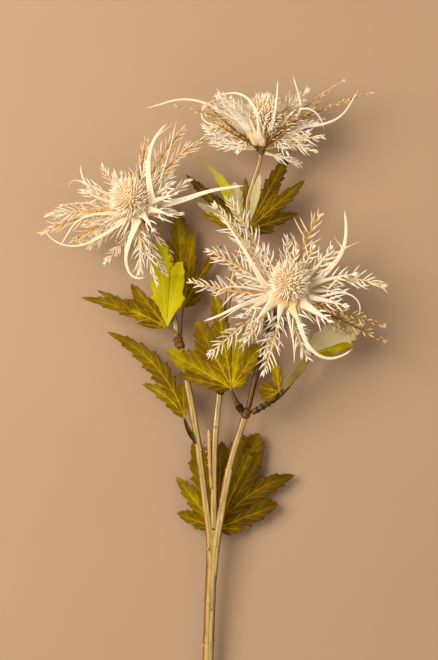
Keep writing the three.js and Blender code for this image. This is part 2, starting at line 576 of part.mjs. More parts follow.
// Leaf rows: each with its stalk, from what carries it to the foot of its lobes.
const LEAVES = {
  fork_leaf: {
    color: OLIVE,
    stalk: [at(-0.2, -9, 12.6), at(2.6, 3.5, 10.1)],
    base: at(2.3, 0.5, 10), slope: [-0.02, -0.02], droop: 0.03, spread: 40,
    lobes: [
      { toward: -2, length: 18, teeth: 1, web: 0.85, half: 4 },
      { toward: 21, length: 43, teeth: 2, web: 0.84, half: 6 },
      { toward: 34, length: 63, teeth: 3, web: 0.52, half: 6.2, bend: -44 },
      { toward: 59, length: 59, teeth: 3, web: 0.94, half: 5 },
      { toward: 66, length: 68, teeth: 2, web: 0.94, half: 6 },
      { toward: 75, length: 64, teeth: 2, web: 0.84, half: 5 },
      { toward: 87, length: 57, teeth: 2, web: 0.7, half: 5 },
      { toward: 105, length: 60, teeth: 3, web: 0.68, half: 7.6 },
      { toward: 129, length: 43, teeth: 2, web: 0.73, half: 4.4 },
      { toward: 160, length: 28, teeth: 2, half: 4.6 },
    ],
  },
  left_low_leaf: {
    color: OLIVE,
    stalk: [at(-14.4, 62, 20.6), at(-19, 73, 20)],
    base: at(-18.6, 72, 20), slope: [0.02, 0], droop: 0.06, spread: 12,
    lobes: [
      { toward: 94, length: 24, teeth: 1, web: 0.88, half: 4 },
      { toward: 132, length: 79, teeth: 5, bend: 52, web: 0.5, half: 6.4 },
      { toward: 141, length: 37, teeth: 2, bend: 48, half: 4.2 },
    ],
  },
  left_mid_leaf: {
    color: BRIGHT,
    stalk: [at(-23.6, 127.6, 24.9), at(-30, 132, 26)],
    base: at(-30, 131.6, 26), slope: [0, 0.05], spread: 16,
    lobes: [
      { toward: 77, length: 44, teeth: 2, web: 0.86, half: 6.2 },
      { toward: 96, length: 58, teeth: 3, web: 0.36, half: 7.6 },
      { toward: 129, length: 37, teeth: 2, web: 0.8, half: 3.6 },
      { toward: 152, length: 52, teeth: 3, web: 0.46, half: 2.8 },
      { toward: 161, length: 60, teeth: 3, bend: 20, web: 0.6, half: 4.2 },
      { toward: 172, length: 20, teeth: 1, half: 2 },
    ],
  },
  left_back_leaf: {
    color: OLIVE,
    stalk: [at(-21.6, 121, 18.2), at(-20.6, 135, 14.8), at(-19.8, 145, 13)],
    base: at(-19.8, 144, 13), slope: [0, -0.03], droop: 0.05, spread: 20,
    lobes: [
      { toward: 38, length: 17, teeth: 1, web: 0.5, half: 3 },
      { toward: 58, length: 49, teeth: 3, web: 0.26, half: 3.6, bend: -16 },
      { toward: 82, length: 52, teeth: 3, web: 0.9, half: 4.8 },
      { toward: 93, length: 65, teeth: 3, web: 0.9, half: 5.4 },
      { toward: 104, length: 46, teeth: 2, half: 4 },
    ],
  },
  centre_leaf: {
    color: BRIGHT,
    stalk: [at(11.4, 91, 28.6), at(11.6, 94, 28.4)],
    base: at(12, 92.4, 28.4), slope: [0, 0], droop: 0.05, spread: 40,
    lobes: [
      { toward: 41, length: 13, teeth: 1, web: 0.8, half: 4 },
      { toward: 57, length: 34, teeth: 2, web: 0.8, half: 5.6 },
      { toward: 80, length: 34, teeth: 2, web: 0.84, half: 4.6 },
      { toward: 100, length: 68, teeth: 4, web: 0.8, half: 5 },
      { toward: 118, length: 49, teeth: 2, web: 0.74, half: 6.4 },
      { toward: 150, length: 50, teeth: 3, web: 0.84, half: 5.8 },
      { toward: 167, length: 37, teeth: 2, half: 3.4 },
    ],
  },
  top_right_leaf: {
    color: OLIVE,
    stalk: [at(24.6, 194.4, 24.4), at(24, 196, 24.2)],
    base: at(22.6, 195.4, 24.2), slope: [0, 0], droop: 0.04, spread: 26,
    lobes: [
      { toward: -6, length: 17, teeth: 1, web: 0.6, half: 2.8 },
      { toward: 17, length: 34, teeth: 2, web: 0.7, half: 3.6 },
      { toward: 41, length: 49, teeth: 3, web: 0.36, half: 4.6 },
      { toward: 54, length: 37, teeth: 1, web: 0.86, half: 2.8 },
      { toward: 62, length: 57, teeth: 4, web: 0.6, half: 4.8 },
      { toward: 78, length: 37, teeth: 2, web: 0.7, half: 3 },
      { toward: 94, length: 34, teeth: 2, half: 2.4 },
    ],
  },
  top_left_leaf: {
    color: OLIVE,
    stalk: [at(18.6, 190.6, 20.4), at(17, 197, 18.4)],
    base: at(18.4, 196, 18.6), slope: [0, 0], droop: 0.03, spread: 20,
    lobes: [
      { toward: 78, length: 25, teeth: 1, web: 0.8, half: 3.4 },
      { toward: 99, length: 31, teeth: 2, web: 0.7, half: 4.4 },
      { toward: 122, length: 58, teeth: 3, bend: 44, taper: 2, web: 0.44, half: 4.6 },
      { toward: 136, length: 51, teeth: 3, web: 0.6, half: 3.6 },
      { toward: 150, length: 34, teeth: 2, web: 0.7, half: 2.6 },
      { toward: 161, length: 28, teeth: 2, half: 3 },
    ],
  },
  outer_leaf: {
    color: SAGE,
    stalk: [at(62.2, 112.9, 28), at(64, 115, 28)],
    base: at(62.8, 114.6, 28), slope: [0, 0], droop: 0.02, spread: 26,
    lobes: [
      { toward: 12, length: 29, teeth: 2, web: 0.82, half: 4 },
      { toward: 27, length: 37, teeth: 2, web: 0.85, half: 5.6 },
      { toward: 50, length: 29, teeth: 2, web: 0.85, half: 5 },
      { toward: 68, length: 17, teeth: 1, half: 4 },
    ],
  },
  twig_leaf: {
    color: OLIVE,
    stalk: [at(43.6, 88.6, 30.6), at(42.6, 91, 31.2)],
    base: at(42.6, 90.4, 31.4), slope: [0, 0.02], droop: 0.05, spread: 30,
    lobes: [
      { toward: 98, length: 24, teeth: 2, web: 0.4, half: 3.4 },
      { toward: 168, length: 14, teeth: 1, web: 0.8, half: 4.4 },
      { toward: 206, length: 13, teeth: 1, half: 3.8 },
    ],
  },
};

function buildLeaves() {
  const rooms = [longStem(GAP), ...[LEFT, MIDDLE, RIGHT].map((points) => room(points, BRANCH_RADIUS))];
  rooms.push(rod(OUTER_TWIG, [2, 1.6], { steps: 9 }), rod(INNER_TWIG, [2.5, 1.2], { steps: 9 }));
  rooms.push(rod(LEFT_TWIG, [2.1, 1.8], { steps: 9 }), rod(TOP_TWIG, [1.9, 1.6], { steps: 9 }));
  rooms.push(...Object.values(COLLARS).map(barrelRoom));
  for (const [name, shape] of Object.entries(LEAVES)) {
    const stalk = rod(shape.stalk, [0.9, 0.8], { sides: 5, steps: 3 });
    add(name, geometryOf(cut(join([...leaf(shape), stalk]), ...rooms)), shape.color, 0.65);
  }
}

buildStems();
buildLeaves();
for (const [name, head] of Object.entries(HEADS)) {
  buildHead(name, head);
}

export default spray;
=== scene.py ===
from collections import namedtuple
from math import cos, degrees, exp, hypot, pi, radians, sin, sqrt

import bmesh
import bpy
from mathutils import Matrix, Vector, noise


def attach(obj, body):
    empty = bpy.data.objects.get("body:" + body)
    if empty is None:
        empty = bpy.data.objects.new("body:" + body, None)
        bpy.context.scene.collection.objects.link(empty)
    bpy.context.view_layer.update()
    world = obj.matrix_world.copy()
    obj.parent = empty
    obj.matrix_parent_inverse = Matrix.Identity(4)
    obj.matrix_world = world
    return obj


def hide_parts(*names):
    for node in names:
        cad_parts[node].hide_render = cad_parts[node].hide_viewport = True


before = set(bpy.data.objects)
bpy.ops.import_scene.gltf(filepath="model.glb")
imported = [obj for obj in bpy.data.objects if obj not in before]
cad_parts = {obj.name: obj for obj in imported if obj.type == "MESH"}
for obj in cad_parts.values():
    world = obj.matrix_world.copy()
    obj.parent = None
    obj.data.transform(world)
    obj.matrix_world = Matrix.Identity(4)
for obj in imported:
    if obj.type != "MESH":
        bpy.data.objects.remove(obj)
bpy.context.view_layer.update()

MM = 0.001
UP = Vector((0, 0, 1))
STRAIGHT = Vector((0, 0, 0))
GOLDEN = pi * (3 - sqrt(5))

# Sizes, the same as the solids have
FORK_Y = 14.6
STEM_LENGTH = 324
STEM_RADIUS = 3.3
STEM_RIDGE = 0.12
TWIG_RADIUS = 1.45
BRACT_TEETH = 6
BRACT_WIDE = 9
BRACT_ROOT = 4
STRAP_ROOT = 6.5
ROOT_SPREAD = 2.2
HUB_RADIUS = 9.5
HUB_HALF = 4.6
CONE_CORE = 8.2
CONE_SPINE = 4.4
CONE_STRETCH = 0.42
CONE_SUNK = 1.5
CALYX_LENGTH = 9
GAP = 0.3

# Sizes and counts of the fine detail
LOWEST = 0.02  # how near the table a point may come
COMB_LOWEST = 0.9  # and the rib of a long comb
FRINGE_LOWEST = 1.5  # and what stands close round a cone
STEM_SIDES = 20
TWIG_STEPS = 60
BRACT_STEPS = 26
PETAL_STEPS = 16
SKIRT_STEPS = 18
STRAP_STEPS = 44
FORK_STEPS = 16
HUB_SIDES = 28
COMB_BARE = 0.22  # the share of a long comb's rib that has no needles
HANGING = -40  # the climb below which a long comb hangs, and is browner
FORKED = 0.12  # the share of needles that have a side needle
BROAD = 3.8  # the half width above which a pale bract is a broad one
BROWN = -0.4  # the shade up to which a comb below a hub has shorter needles
CONE_SPINES = 340
CORONA = 150  # needles round each cone
CUP_SCALES = 26
WITHERED = 90  # dry tufts in the hollow below the right head
LEAF_THICK = 0.5
LEAF_FOLD = 0.12  # how far a lobe's edges lift, as a share of its half width
LEAF_BULGE = 0.3  # how much a lobe swells at its middle
LEAF_COLUMNS = 5  # from a lobe's rib to its edge
WEB_ROWS = 6  # from a leaf's foot to the notch between two lobes


# ---------- Small tools ----------

def at(x, y, z):
    return Vector((x, y, z))


def raised(spot, z=0):
    """A place in plan at another height."""
    return at(spot.x, spot.y, z)


def mix(a, b, share):
    return a + (b - a) * share


def clamp(value, low=0.0, high=1.0):
    return max(low, min(high, value))


def aim(toward):
    angle = radians(toward)
    return at(cos(angle), sin(angle), 0)


def sides_of(axis):
    """Two directions across an axis, and across each other."""
    side = axis.cross(UP if abs(axis.z) < 0.9 else at(1, 0, 0)).normalized()
    return side, side.cross(axis)


class Seeded:
    """The same numbers between two limits on every run."""

    def __init__(self, seed):
        self.state = seed

    def __call__(self, low=0.0, high=1.0):
        self.state = (self.state * 16807) % 2147483647
        return mix(low, high, self.state / 2147483647)


def turned(parts, share):
    """What has been turned after a share of the way, each entry over an equal part of it."""
    return sum(part * clamp(share * len(parts) - i) for i, part in enumerate(parts))


def grow(foot, heading, length, steps, climb=0, turn=(0,), lift=(0,)):
    """A line that heads one way in plan and climbs, and both change by parts on the way."""
    line = [foot.copy()]
    for i in range(steps):
        share = (i + 0.5) / steps
        rise = radians(climb + turned(lift, share))
        step = aim(heading + turned(turn, share)) * cos(rise)
        step.z = sin(rise)
        line.append(line[-1] + step * (length / steps))
    return line


def above(line, lowest):
    return [p for p in line if p.z > lowest]


def spline(points, steps):
    """A smooth line through points, with even steps along it."""
    ends = [points[0] * 2 - points[1], *points, points[-1] * 2 - points[-2]]
    pieces = 16
    fine = []
    for i in range(len(points) - 1):
        a, b, c, d = ends[i:i + 4]
        for k in range(pieces):
            t = k / pieces
            fine.append(0.5 * ((2 * b) + (c - a) * t + (2 * a - 5 * b + 4 * c - d) * t * t
                               + (3 * b - a - 3 * c + d) * t ** 3))
    fine.append(points[-1])
    far = [0.0]
    for p, q in zip(fine, fine[1:]):
        far.append(far[-1] + (q - p).length)
    line = []
    k = 0
    for i in range(steps + 1):
        want = far[-1] * i / steps
        while k < len(far) - 2 and far[k + 1] < want:
            k += 1
        span = max(far[k + 1] - far[k], 1e-6)
        line.append(fine[k].lerp(fine[k + 1], clamp((want - far[k]) / span)))
    return line


def frames(line, roll=0.0):
    """At each point of a line: along it, across it, and the direction its upper face looks in."""
    last = len(line) - 1
    found = []
    for i in range(last + 1):
        along = (line[min(i + 1, last)] - line[max(i - 1, 0)]).normalized()
        across = along.cross(UP)
        if across.length < 0.05:
            across = along.cross(at(0, 1, 0))
        across = Matrix.Rotation(radians(roll), 3, along) @ across.normalized()
        found.append((along, across, across.cross(along)))
    return found


def ball(rings, radius, half, tone, stretch=0.0):
    """A profile for a lathe: a ball that is drawn out towards its upper end."""
    profile = []
    for i in range(1, rings):
        angle = pi * i / rings
        lean = -cos(angle)
        grown = 1 + stretch * max(lean, 0)
        profile.append((radius * grown * sin(angle), half * grown * lean, tone))
    return profile


def circle(sides, start=0.0):
    """The angles of evenly spaced points round a circle."""
    return [2 * pi * (k + start) / sides for k in range(sides)]


class Shape:
    """A mesh in the making. Each point has a tone, and how far along its own line it lies."""

    def __init__(self):
        self.points = []
        self.faces = []

    def put(self, *point):
        self.points.append(point)
        return len(self.points) - 1

    def ring(self, middle, side, up, outline, along):
        """Points round a middle, at (sideways, upwards, tone) places."""
        return [self.put(middle + side * a + up * u, tone, along) for a, u, tone in outline]

    def skin(self, rings, tip=None):
        """Faces from each ring to the next, over the first ring, and over the last one or up to a tip."""
        after = [*range(1, len(rings[0])), 0]
        for one, two in zip(rings, rings[1:]):
            self.faces += [(one[k], one[n], two[n], two[k]) for k, n in enumerate(after)]
        self.faces.append(tuple(reversed(rings[0])))
        last = rings[-1]
        self.faces += [tuple(last)] if tip is None else [(last[k], last[n], tip) for k, n in enumerate(after)]

    def sweep(self, line, section, roll=0.0):
        """section(share) lists an outline's (across, up, tone) points, anticlockwise."""
        last = len(line) - 1
        far = 0.0
        rings = []
        for i, (p, (_, across, face)) in enumerate(zip(line, frames(line, roll))):
            far += (p - line[i - 1]).length if i else 0.0
            rings.append(self.ring(p, across, face, section(i / last), far))
        self.skin(rings)

    def tube(self, line, start, end, sides, tone):
        """A round rod, from its radius at the start to its radius at the end."""
        def section(share):
            radius = mix(start, end, share)
            return [(radius * cos(a), radius * sin(a), tone) for a in circle(sides, 0.5)]
        self.sweep(line, section)

    def lance(self, foot, way, length, bend, sides, flat, outline, tones):
        """A pointed body that bends towards a direction. outline is rows of: share of the length, radius,
        and how far the tone has gone from the foot's to the tip's."""
        way = way.normalized()
        side, up = sides_of(way)
        rings = []
        for share, size, shade in outline:
            middle = foot + way * (length * share) + bend * (length * share * share)
            tone = mix(*tones, shade)
            oval = [(size * cos(a), size * flat * sin(a), tone) for a in circle(sides)]
            rings.append(self.ring(middle, side, up, oval, length * share))
        self.skin(rings, self.put(foot + way * length + bend * length, tones[1], length))

    def spike(self, foot, way, length, radius, bend, sides=5, steps=3, tones=(0.0, 1.0), flat=1.0):
        """A slender cone."""
        shares = [i / steps for i in range(steps)]
        outline = [(share, radius * (1 - share ** 1.5 * 0.75), share) for share in shares]
        self.lance(foot, way, length, bend, sides, flat, outline, tones)

    def needle(self, foot, way, length, radius, bend, tones):
        """A flat needle: slender at its foot, widest before its middle, and pointed."""
        swell = ((0, 0.75), (0.22, 1.0), (0.5, 0.88), (0.78, 0.5))
        outline = [(share, radius * size, min(1.6 * share, 1)) for share, size in swell]
        self.lance(foot, way, length, bend, 6, 0.6, outline, tones)

    def lathe(self, foot, axis, profile, sides, wobble=0.0):
        """Rings of (radius, height, tone) round an axis, closed at both ends."""
        side, up = sides_of(axis)
        rings = []
        for radius, height, tone in profile:
            outline = []
            for a in circle(sides):
                size = radius * (1 + wobble * sin(5 * a + height) * cos(3 * a - 2 * height))
                outline.append((size * cos(a), size * sin(a), tone))
            rings.append(self.ring(foot + axis * height, side, up, outline, height))
        self.skin(rings)


def shown(name, data):
    """A mesh, light or camera as an object of the scene."""
    thing = bpy.data.objects.new(name, data)
    bpy.context.scene.collection.objects.link(thing)
    return thing


def finish_piece(piece, slot, *nodes):
    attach(piece, "root")
    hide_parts(*nodes)


def make(name, shape, material, slot, *nodes):
    """Turns a shape into a smooth mesh object, in metres, that stands for its CAD nodes."""
    mesh = bpy.data.meshes.new(name)
    spots, *values = zip(*shape.points)
    mesh.from_pydata([(p.x * MM, (p.y + FORK_Y) * MM, max(p.z, LOWEST) * MM) for p in spots], [], shape.faces)
    for label, row in zip(("tone", "along"), values):
        mesh.attributes.new(label, "FLOAT", "POINT").data.foreach_set("value", row)
    build = bmesh.new()
    build.from_mesh(mesh)
    bmesh.ops.recalc_face_normals(build, faces=build.faces)
    build.to_mesh(mesh)
    build.free()
    mesh.shade_smooth()
    mesh.materials.append(material)
    finish_piece(shown(name, mesh), slot, *nodes)


# ---------- Materials ----------

def rgb(code):
    """A colour written as six hex digits, in linear light."""
    parts = [int(code[i:i + 2], 16) / 255 for i in (0, 2, 4)]
    return (*(p / 12.92 if p <= 0.04045 else ((p + 0.055) / 1.055) ** 2.4 for p in parts), 1.0)


class Look:
    """A material with short names for the nodes that it is made of."""

    def __init__(self, name, **sockets):
        self.material = bpy.data.materials.new(name)
        self.material.use_nodes = True
        self.tree = self.material.node_tree
        self.shader = self.tree.nodes["Principled BSDF"]
        for key, value in sockets.items():
            self.shader.inputs[key.replace("_", " ")].default_value = value

    def node(self, kind, **settings):
        made = self.tree.nodes.new(f"ShaderNode{kind}")
        for key, value in settings.items():
            setattr(made, key, value)
        return made

    def link(self, source, socket):
        if hasattr(source, "is_output"):
            self.tree.links.new(source, socket)
        else:
            socket.default_value = source

    def place(self, stretch=(1, 1, 1)):
        """Object coordinates in millimetres, stretched."""
        coordinates = self.node("TexCoord")
        mapping = self.node("Mapping")
        mapping.inputs["Scale"].default_value = [s / MM for s in stretch]
        self.link(coordinates.outputs["Object"], mapping.inputs["Vector"])
        return mapping.outputs["Vector"]

    def value(self, label):
        return self.node("Attribute", attribute_name=label).outputs["Fac"]

    def math(self, operation, *sources, clamped=False):
        made = self.node("Math", operation=operation, use_clamp=clamped)
        for source, socket in zip(sources, made.inputs):
            self.link(source, socket)
        return made.outputs[0]

    def times(self, a, b):
        return self.math("MULTIPLY", a, b)

    def plus(self, a, b, clamped=False):
        return self.math("ADD", a, b, clamped=clamped)

    def swing(self, source, span):
        """A value between 0 and 1 made to swing as far as span, half of it to each side of 0."""
        return self.math("MULTIPLY_ADD", source, span, -span / 2)

    def fade(self, distance, reach):
        """From 1 at no distance to 0 at the reach."""
        return self.math("SUBTRACT", 1.0, self.math("DIVIDE", distance, reach), clamped=True)

    def stripe(self, distance, spacing):
        """How far a place is from the nearest line of an even row of lines, in spacings."""
        place = self.math("FRACT", self.math("DIVIDE", distance, spacing))
        return self.math("ABSOLUTE", self.math("SUBTRACT", place, 0.5))

    def noise(self, size, detail, stretch=(1, 1, 1)):
        """size is the noise's grain in millimetres."""
        made = self.node("TexNoise")
        for label, value in (("Scale", 1 / size), ("Detail", detail), ("Roughness", 0.55)):
            made.inputs[label].default_value = value
        self.link(self.place(stretch), made.inputs["Vector"])
        return made.outputs["Fac"]

    def ramp(self, source, *stops):
        """Colours, or greys, at places between 0 and 1."""
        made = self.node("ValToRGB")
        elements = made.color_ramp.elements
        while len(elements) < len(stops):
            elements.new(0.5)
        for element, (position, color) in zip(elements, stops):
            element.position = position
            element.color = rgb(color) if isinstance(color, str) else (color, color, color, 1)
        self.link(source, made.inputs["Fac"])
        return made.outputs["Color"]

    def blend(self, share, a, b):
        made = self.node("Mix", data_type="RGBA")
        self.link(share, made.inputs["Factor"])
        for source, socket in ((a, made.inputs["A"]), (b, made.inputs["B"])):
            self.link(rgb(source) if isinstance(source, str) else source, socket)
        return made.outputs["Result"]

    def color(self, source):
        self.link(source, self.shader.inputs["Base Color"])

    def rough(self, source, low, high):
        self.link(self.math("MULTIPLY_ADD", source, high - low, low), self.shader.inputs["Roughness"])

    def bump(self, height, strength, distance):
        made = self.node("Bump")
        made.inputs["Strength"].default_value = strength
        made.inputs["Distance"].default_value = distance * MM
        self.link(height, made.inputs["Height"])
        self.link(made.outputs["Normal"], self.shader.inputs["Normal"])


def waxy(name, low, middle, high, roughness, soft=0.18, shine=0.25):
    """Soft moulded plastic, from the colour at tone 0 to the colour at tone 1."""
    look = Look(name, Roughness=roughness, Subsurface_Weight=soft, Subsurface_Scale=0.0012,
                Specular_IOR_Level=shine, Subsurface_Radius=(1.0, 0.85, 0.65))
    blotch = look.noise(7, 3)
    tone = look.plus(look.value("tone"), look.swing(blotch, 0.5), True)
    base = look.ramp(tone, (0.0, low), (0.5, middle), (1.0, high))
    grain = look.noise(0.5, 2)
    look.color(look.blend(look.times(grain, 0.22), base, low))
    look.rough(blotch, roughness - 0.12, roughness + 0.14)
    look.bump(look.plus(look.noise(0.7, 3), look.times(blotch, 0.5)), 0.35, 0.25)
    return look.material


def moulded(name, left, right, dark, roughness, coat):
    """Moulded stem plastic: one colour on each side of the mould line, streaks along it, and a clear coat.
    The dark colour is also painted shade along the rod's flanks and in the groove on the mould line, and pale
    spots are painted glints.
    """
    look = Look(name, Roughness=roughness, Coat_Weight=coat, Coat_Roughness=0.12, Specular_IOR_Level=coat)
    streak = look.noise(1.6, 4, (1, 0.07, 1))
    side = look.plus(look.value("tone"), look.swing(look.noise(16, 3), 0.24), True)
    # tone 0 and 1 are the rod's flanks and 0.5 is its groove: the dark colour there is painted shade
    base = look.ramp(side, (0.0, dark), (0.14, left), (0.42, left), (0.5, dark), (0.57, right), (0.86, right),
                     (1.0, dark))
    worn = look.ramp(streak, (0.44, 0.0), (0.66, 1.0))
    base = look.blend(look.times(worn, 0.6), base, dark)
    # pale spots, stronger where the coat is stronger: painted glints
    pale = look.ramp(look.noise(3.2, 5, (1, 0.25, 1)), (0.6, 0.0), (0.75, 1.0))
    look.color(look.blend(look.times(pale, 0.5 * coat), base, "E9DFB0"))
    look.rough(streak, roughness - 0.1, roughness + 0.2)
    look.bump(look.plus(streak, look.noise(0.5, 3)), 0.3, 0.3)
    return look.material


def leaf_cloth():
    """Printed leaf cloth. The vein map is in millimetres: along a lobe's rib, and out from it."""
    look = Look("leaf_cloth", Roughness=0.6, Specular_IOR_Level=0.06)
    split = look.node("SeparateXYZ")
    look.link(look.node("UVMap", uv_map="vein").outputs["UV"], split.inputs[0])
    along = split.outputs["X"]
    bend = look.swing(look.noise(9, 2), 1.6)
    out = look.math("ABSOLUTE", look.plus(split.outputs["Y"], look.times(bend, 0.35)))

    # a bright rib, side veins that lean forward from it, and fine lines between them
    rib = look.fade(out, 0.56)
    sweep = look.math("SUBTRACT", along, look.times(out, 1.9))
    side = look.fade(look.stripe(look.plus(sweep, bend), 7.6), 0.095)
    fine = look.fade(look.stripe(look.plus(along, look.times(out, -0.4)), 1.7), 0.2)
    tip = look.math("SUBTRACT", 1.0, look.math("POWER", look.value("along"), 1.5), clamped=True)
    lines = look.times(look.math("MAXIMUM", rib, look.times(side, 0.8)), tip)
    lines = look.math("MAXIMUM", lines, look.times(fine, 0.1))

    cloud = look.noise(13, 4)
    tone = look.plus(look.value("tone"), look.swing(cloud, 0.46), True)
    tone = look.plus(tone, look.times(look.fade(out, 4.5), 0.07), True)
    dark, bright, vein = "432E00", "BEB000", "EACC10"
    body = look.ramp(tone, (0.0, dark), (0.14, "624700"), (0.29, "836400"), (0.48, bright), (0.57, bright),
                     (0.68, "A89A52"), (0.85, "D2BF8E"))
    ink = look.ramp(tone, (0.0, "A88200"), (0.14, "C8A204"), (0.3, vein), (0.5, vein), (0.7, "CDBF84"))
    printed = look.blend(look.times(lines, 0.85), body, ink)
    weave = look.node("TexMagic", turbulence_depth=1)
    weave.inputs["Scale"].default_value = 2.4
    look.link(look.place(), weave.inputs["Vector"])
    thread = weave.outputs["Fac"]
    look.color(look.blend(look.times(thread, 0.26), printed, dark))
    look.rough(cloud, 0.5, 0.72)
    relief = look.plus(look.times(lines, 0.7), look.times(thread, 0.2))
    look.bump(look.plus(relief, look.times(cloud, 0.8)), 0.5, 0.45)
    return look.material


# the last colour of each stem plastic is painted shade at the rods' flanks and in their groove, and also the
# colour of their streaks
STEM = moulded("stem_plastic", "C79C50", "C2A75A", "6A4512", 0.3, 0.6)
TWIG = moulded("twig_plastic", "7E5420", "5C3C12", "2A1804", 0.45, 0.12)
LEAF = leaf_cloth()
BRACT = waxy("bract_plastic", "7A4C0C", "F0C988", "FFF4DC", 0.5)
STRAP = waxy("strap_plastic", "D8B47C", "F4DFBC", "FFF2DC", 0.4)
CONE = waxy("cone_plastic", "F0AC60", "FFDCA8", "FFF0D4", 0.55, 0.3)
CALYX = waxy("calyx_plastic", "553714", "94703A", "D6B27A", 0.6)
SHEATH = waxy("leaf_sheath", "241602", "8E7A3A", "DDCE9A", 0.6, 0.05, 0.02)


# ---------- What the heads and leaves are grown from ----------

# Bracts: direction, reach from the hub's middle, climb, turn, lift, and width where it isn't the usual one.
# Straps: place round the hub, direction, climb, length, turns, lifts, width, and forks. A fork: how far along
# the strap, direction, climb, length, and where they differ turns, lifts and width.
Head = namedtuple("Head", "seed hub axis bracts straps")
HEADS = {
    "left": Head(95, at(-49.8, 207.5, 31), at(-0.28, 0.6, 0.75).normalized(), [
        (174, 50, 14, 36, -20), (184, 56, 8, 10, -8, 10), (194, 63, 2, 24, -6, 10), (205, 46, 20, 20, -24),
        (218, 38, 18, 10, -20), (127, 36, -2, -20, 6), (84, 47, -2, -14, 2, 10), (60, 61, -2, -26, -8, 10),
        (46, 64, 4, -34, -6, 10), (31, 39, 2, 20, -6), (-86, 42, 26, -18, -24, 10), (-74, 50, 18, 8, -18),
        (-5, 28, 10, 14, -6), (152, 43, -48, 6, -14), (237, 43, -52, 0, -10), (100, 43, -48, 0, -14),
    ], [
        (-25, -15, 40, 68, (118, -6, -6, -14, -20, -12), (-5, -25, -15, -5, -10, -5), 9, (0.82, 38, -10, 14)),
        (-80, 262, 40, 52, (-14, 10, 40, 100), (-36, -16, 0, 10), 7),
        (190, 160, 30, 46, (-12, -18, -40), (-20, -16, -8), 5, (0.72, 155, 0, 14, (20, 100), (-10,))),
        (235, 218, 18, 66, (-3, -12, -40, -48), (-16, -8), 4),
        (200, 186, 28, 54, (-8, 20, 40, 0), (-20, -20), 4),
        (10, 0, 14, 66, (12, 8, -10, -4), (-8, -6), 8.5),
        (35, 40, 8, 58, (30, 5, 3), (-4,), 3),
    ]),
    "top": Head(30, at(32, 257, 31), at(0.12, 0.93, 0.35).normalized(), [
        (160, 59, 8, 20, -10, 10), (156, 41, -8, 10, 0), (176, 38, 14, -20, -14), (136, 37, 18, 12, -16, 10),
        (48, 41, 6, -8, -8), (22, 76, 4, -12, -8, 10), (37, 65, -4, -10, -2, 10), (-3, 38, 14, 16, -12),
        (-20, 35, 2, 10, -4), (126, 43, -50, 0, -12), (60, 43, -50, 0, -12), (38, 27, 40, 10, -20),
    ], [
        (190, 165, 18, 76, (-22, 6, 24, 24, -2), (-10, -14), 5),
        (-100, 98, 63, 54, (6, 26, 54, 14), (-40, -34, -6, -5), 5),
        (-60, 68, 58, 39, (12, 10), (-50, -18), 5),
        (0, 8, 8, 47, (40, 56, 4), (-8,), 5),
        (-30, 42, 26, 48, (10, -28, -66, -44), (-18, -14), 4),
        (10, 2, 8, 66, (14, -12, 20, 34, 4), (-8, -4), 5),
        (170, 175, 0, 52, (-6, 10, -30, -100, -30), (4, 4), 4),
    ]),
    "right": Head(40, at(46, 152, 37), at(0.25, 0.7, 0.67).normalized(), [
        (126, 76, 12, 10, -10, 10), (119, 71, 4, 6, -4, 10), (149, 57, 12, 10, -14, 10),
        (172, 61, 2, -16, -2, 10), (86, 39, -8, 8, 4), (67, 56, -2, -12, 0, 10), (8, 68, 8, -58, -8, 10),
        (-17, 67, 10, -6, -10, 10), (-24, 70, 2, -6, -2, 10), (218, 62, 26, 8, -26, 10),
        (254, 55, 28, -8, -22, 10), (-71, 42, 20, 10, -20), (41, 42, 6, 10, -8), (229, 42, 34, 6, -30),
        (138, 49, -52, 0, -8), (50, 49, -52, 0, -8), (92, 49, -54, 0, -8),
    ], [
        (170, 160, 30, 63, (-42, 2, 4, 0), (-20, -16), 7),
        (200, 192, 40, 52, (4, 12, -12), (-36, -14), 7, (0.45, 214, 4, 20, (0,), (-20,), 2.4)),
        (-60, 310, 45, 67, (-28, 8, 32, 50, 30), (-38, -18, 0), 7),
        (-20, -5, 22, 53, (15, 5, -50, -80), (-16, -12), 4),
        (10, 33, 10, 69, (4, 14, 34, 16), (-6, -4), 9, (0.64, 127, 0, 10), (0.64, 24, 0, 12)),
        (165, 182, 16, 44, (-15, 15, 70), (-16,), 3.4),
        (-85, 275, 36, 42, (8, -16), (-44,), 4),
    ]),
}

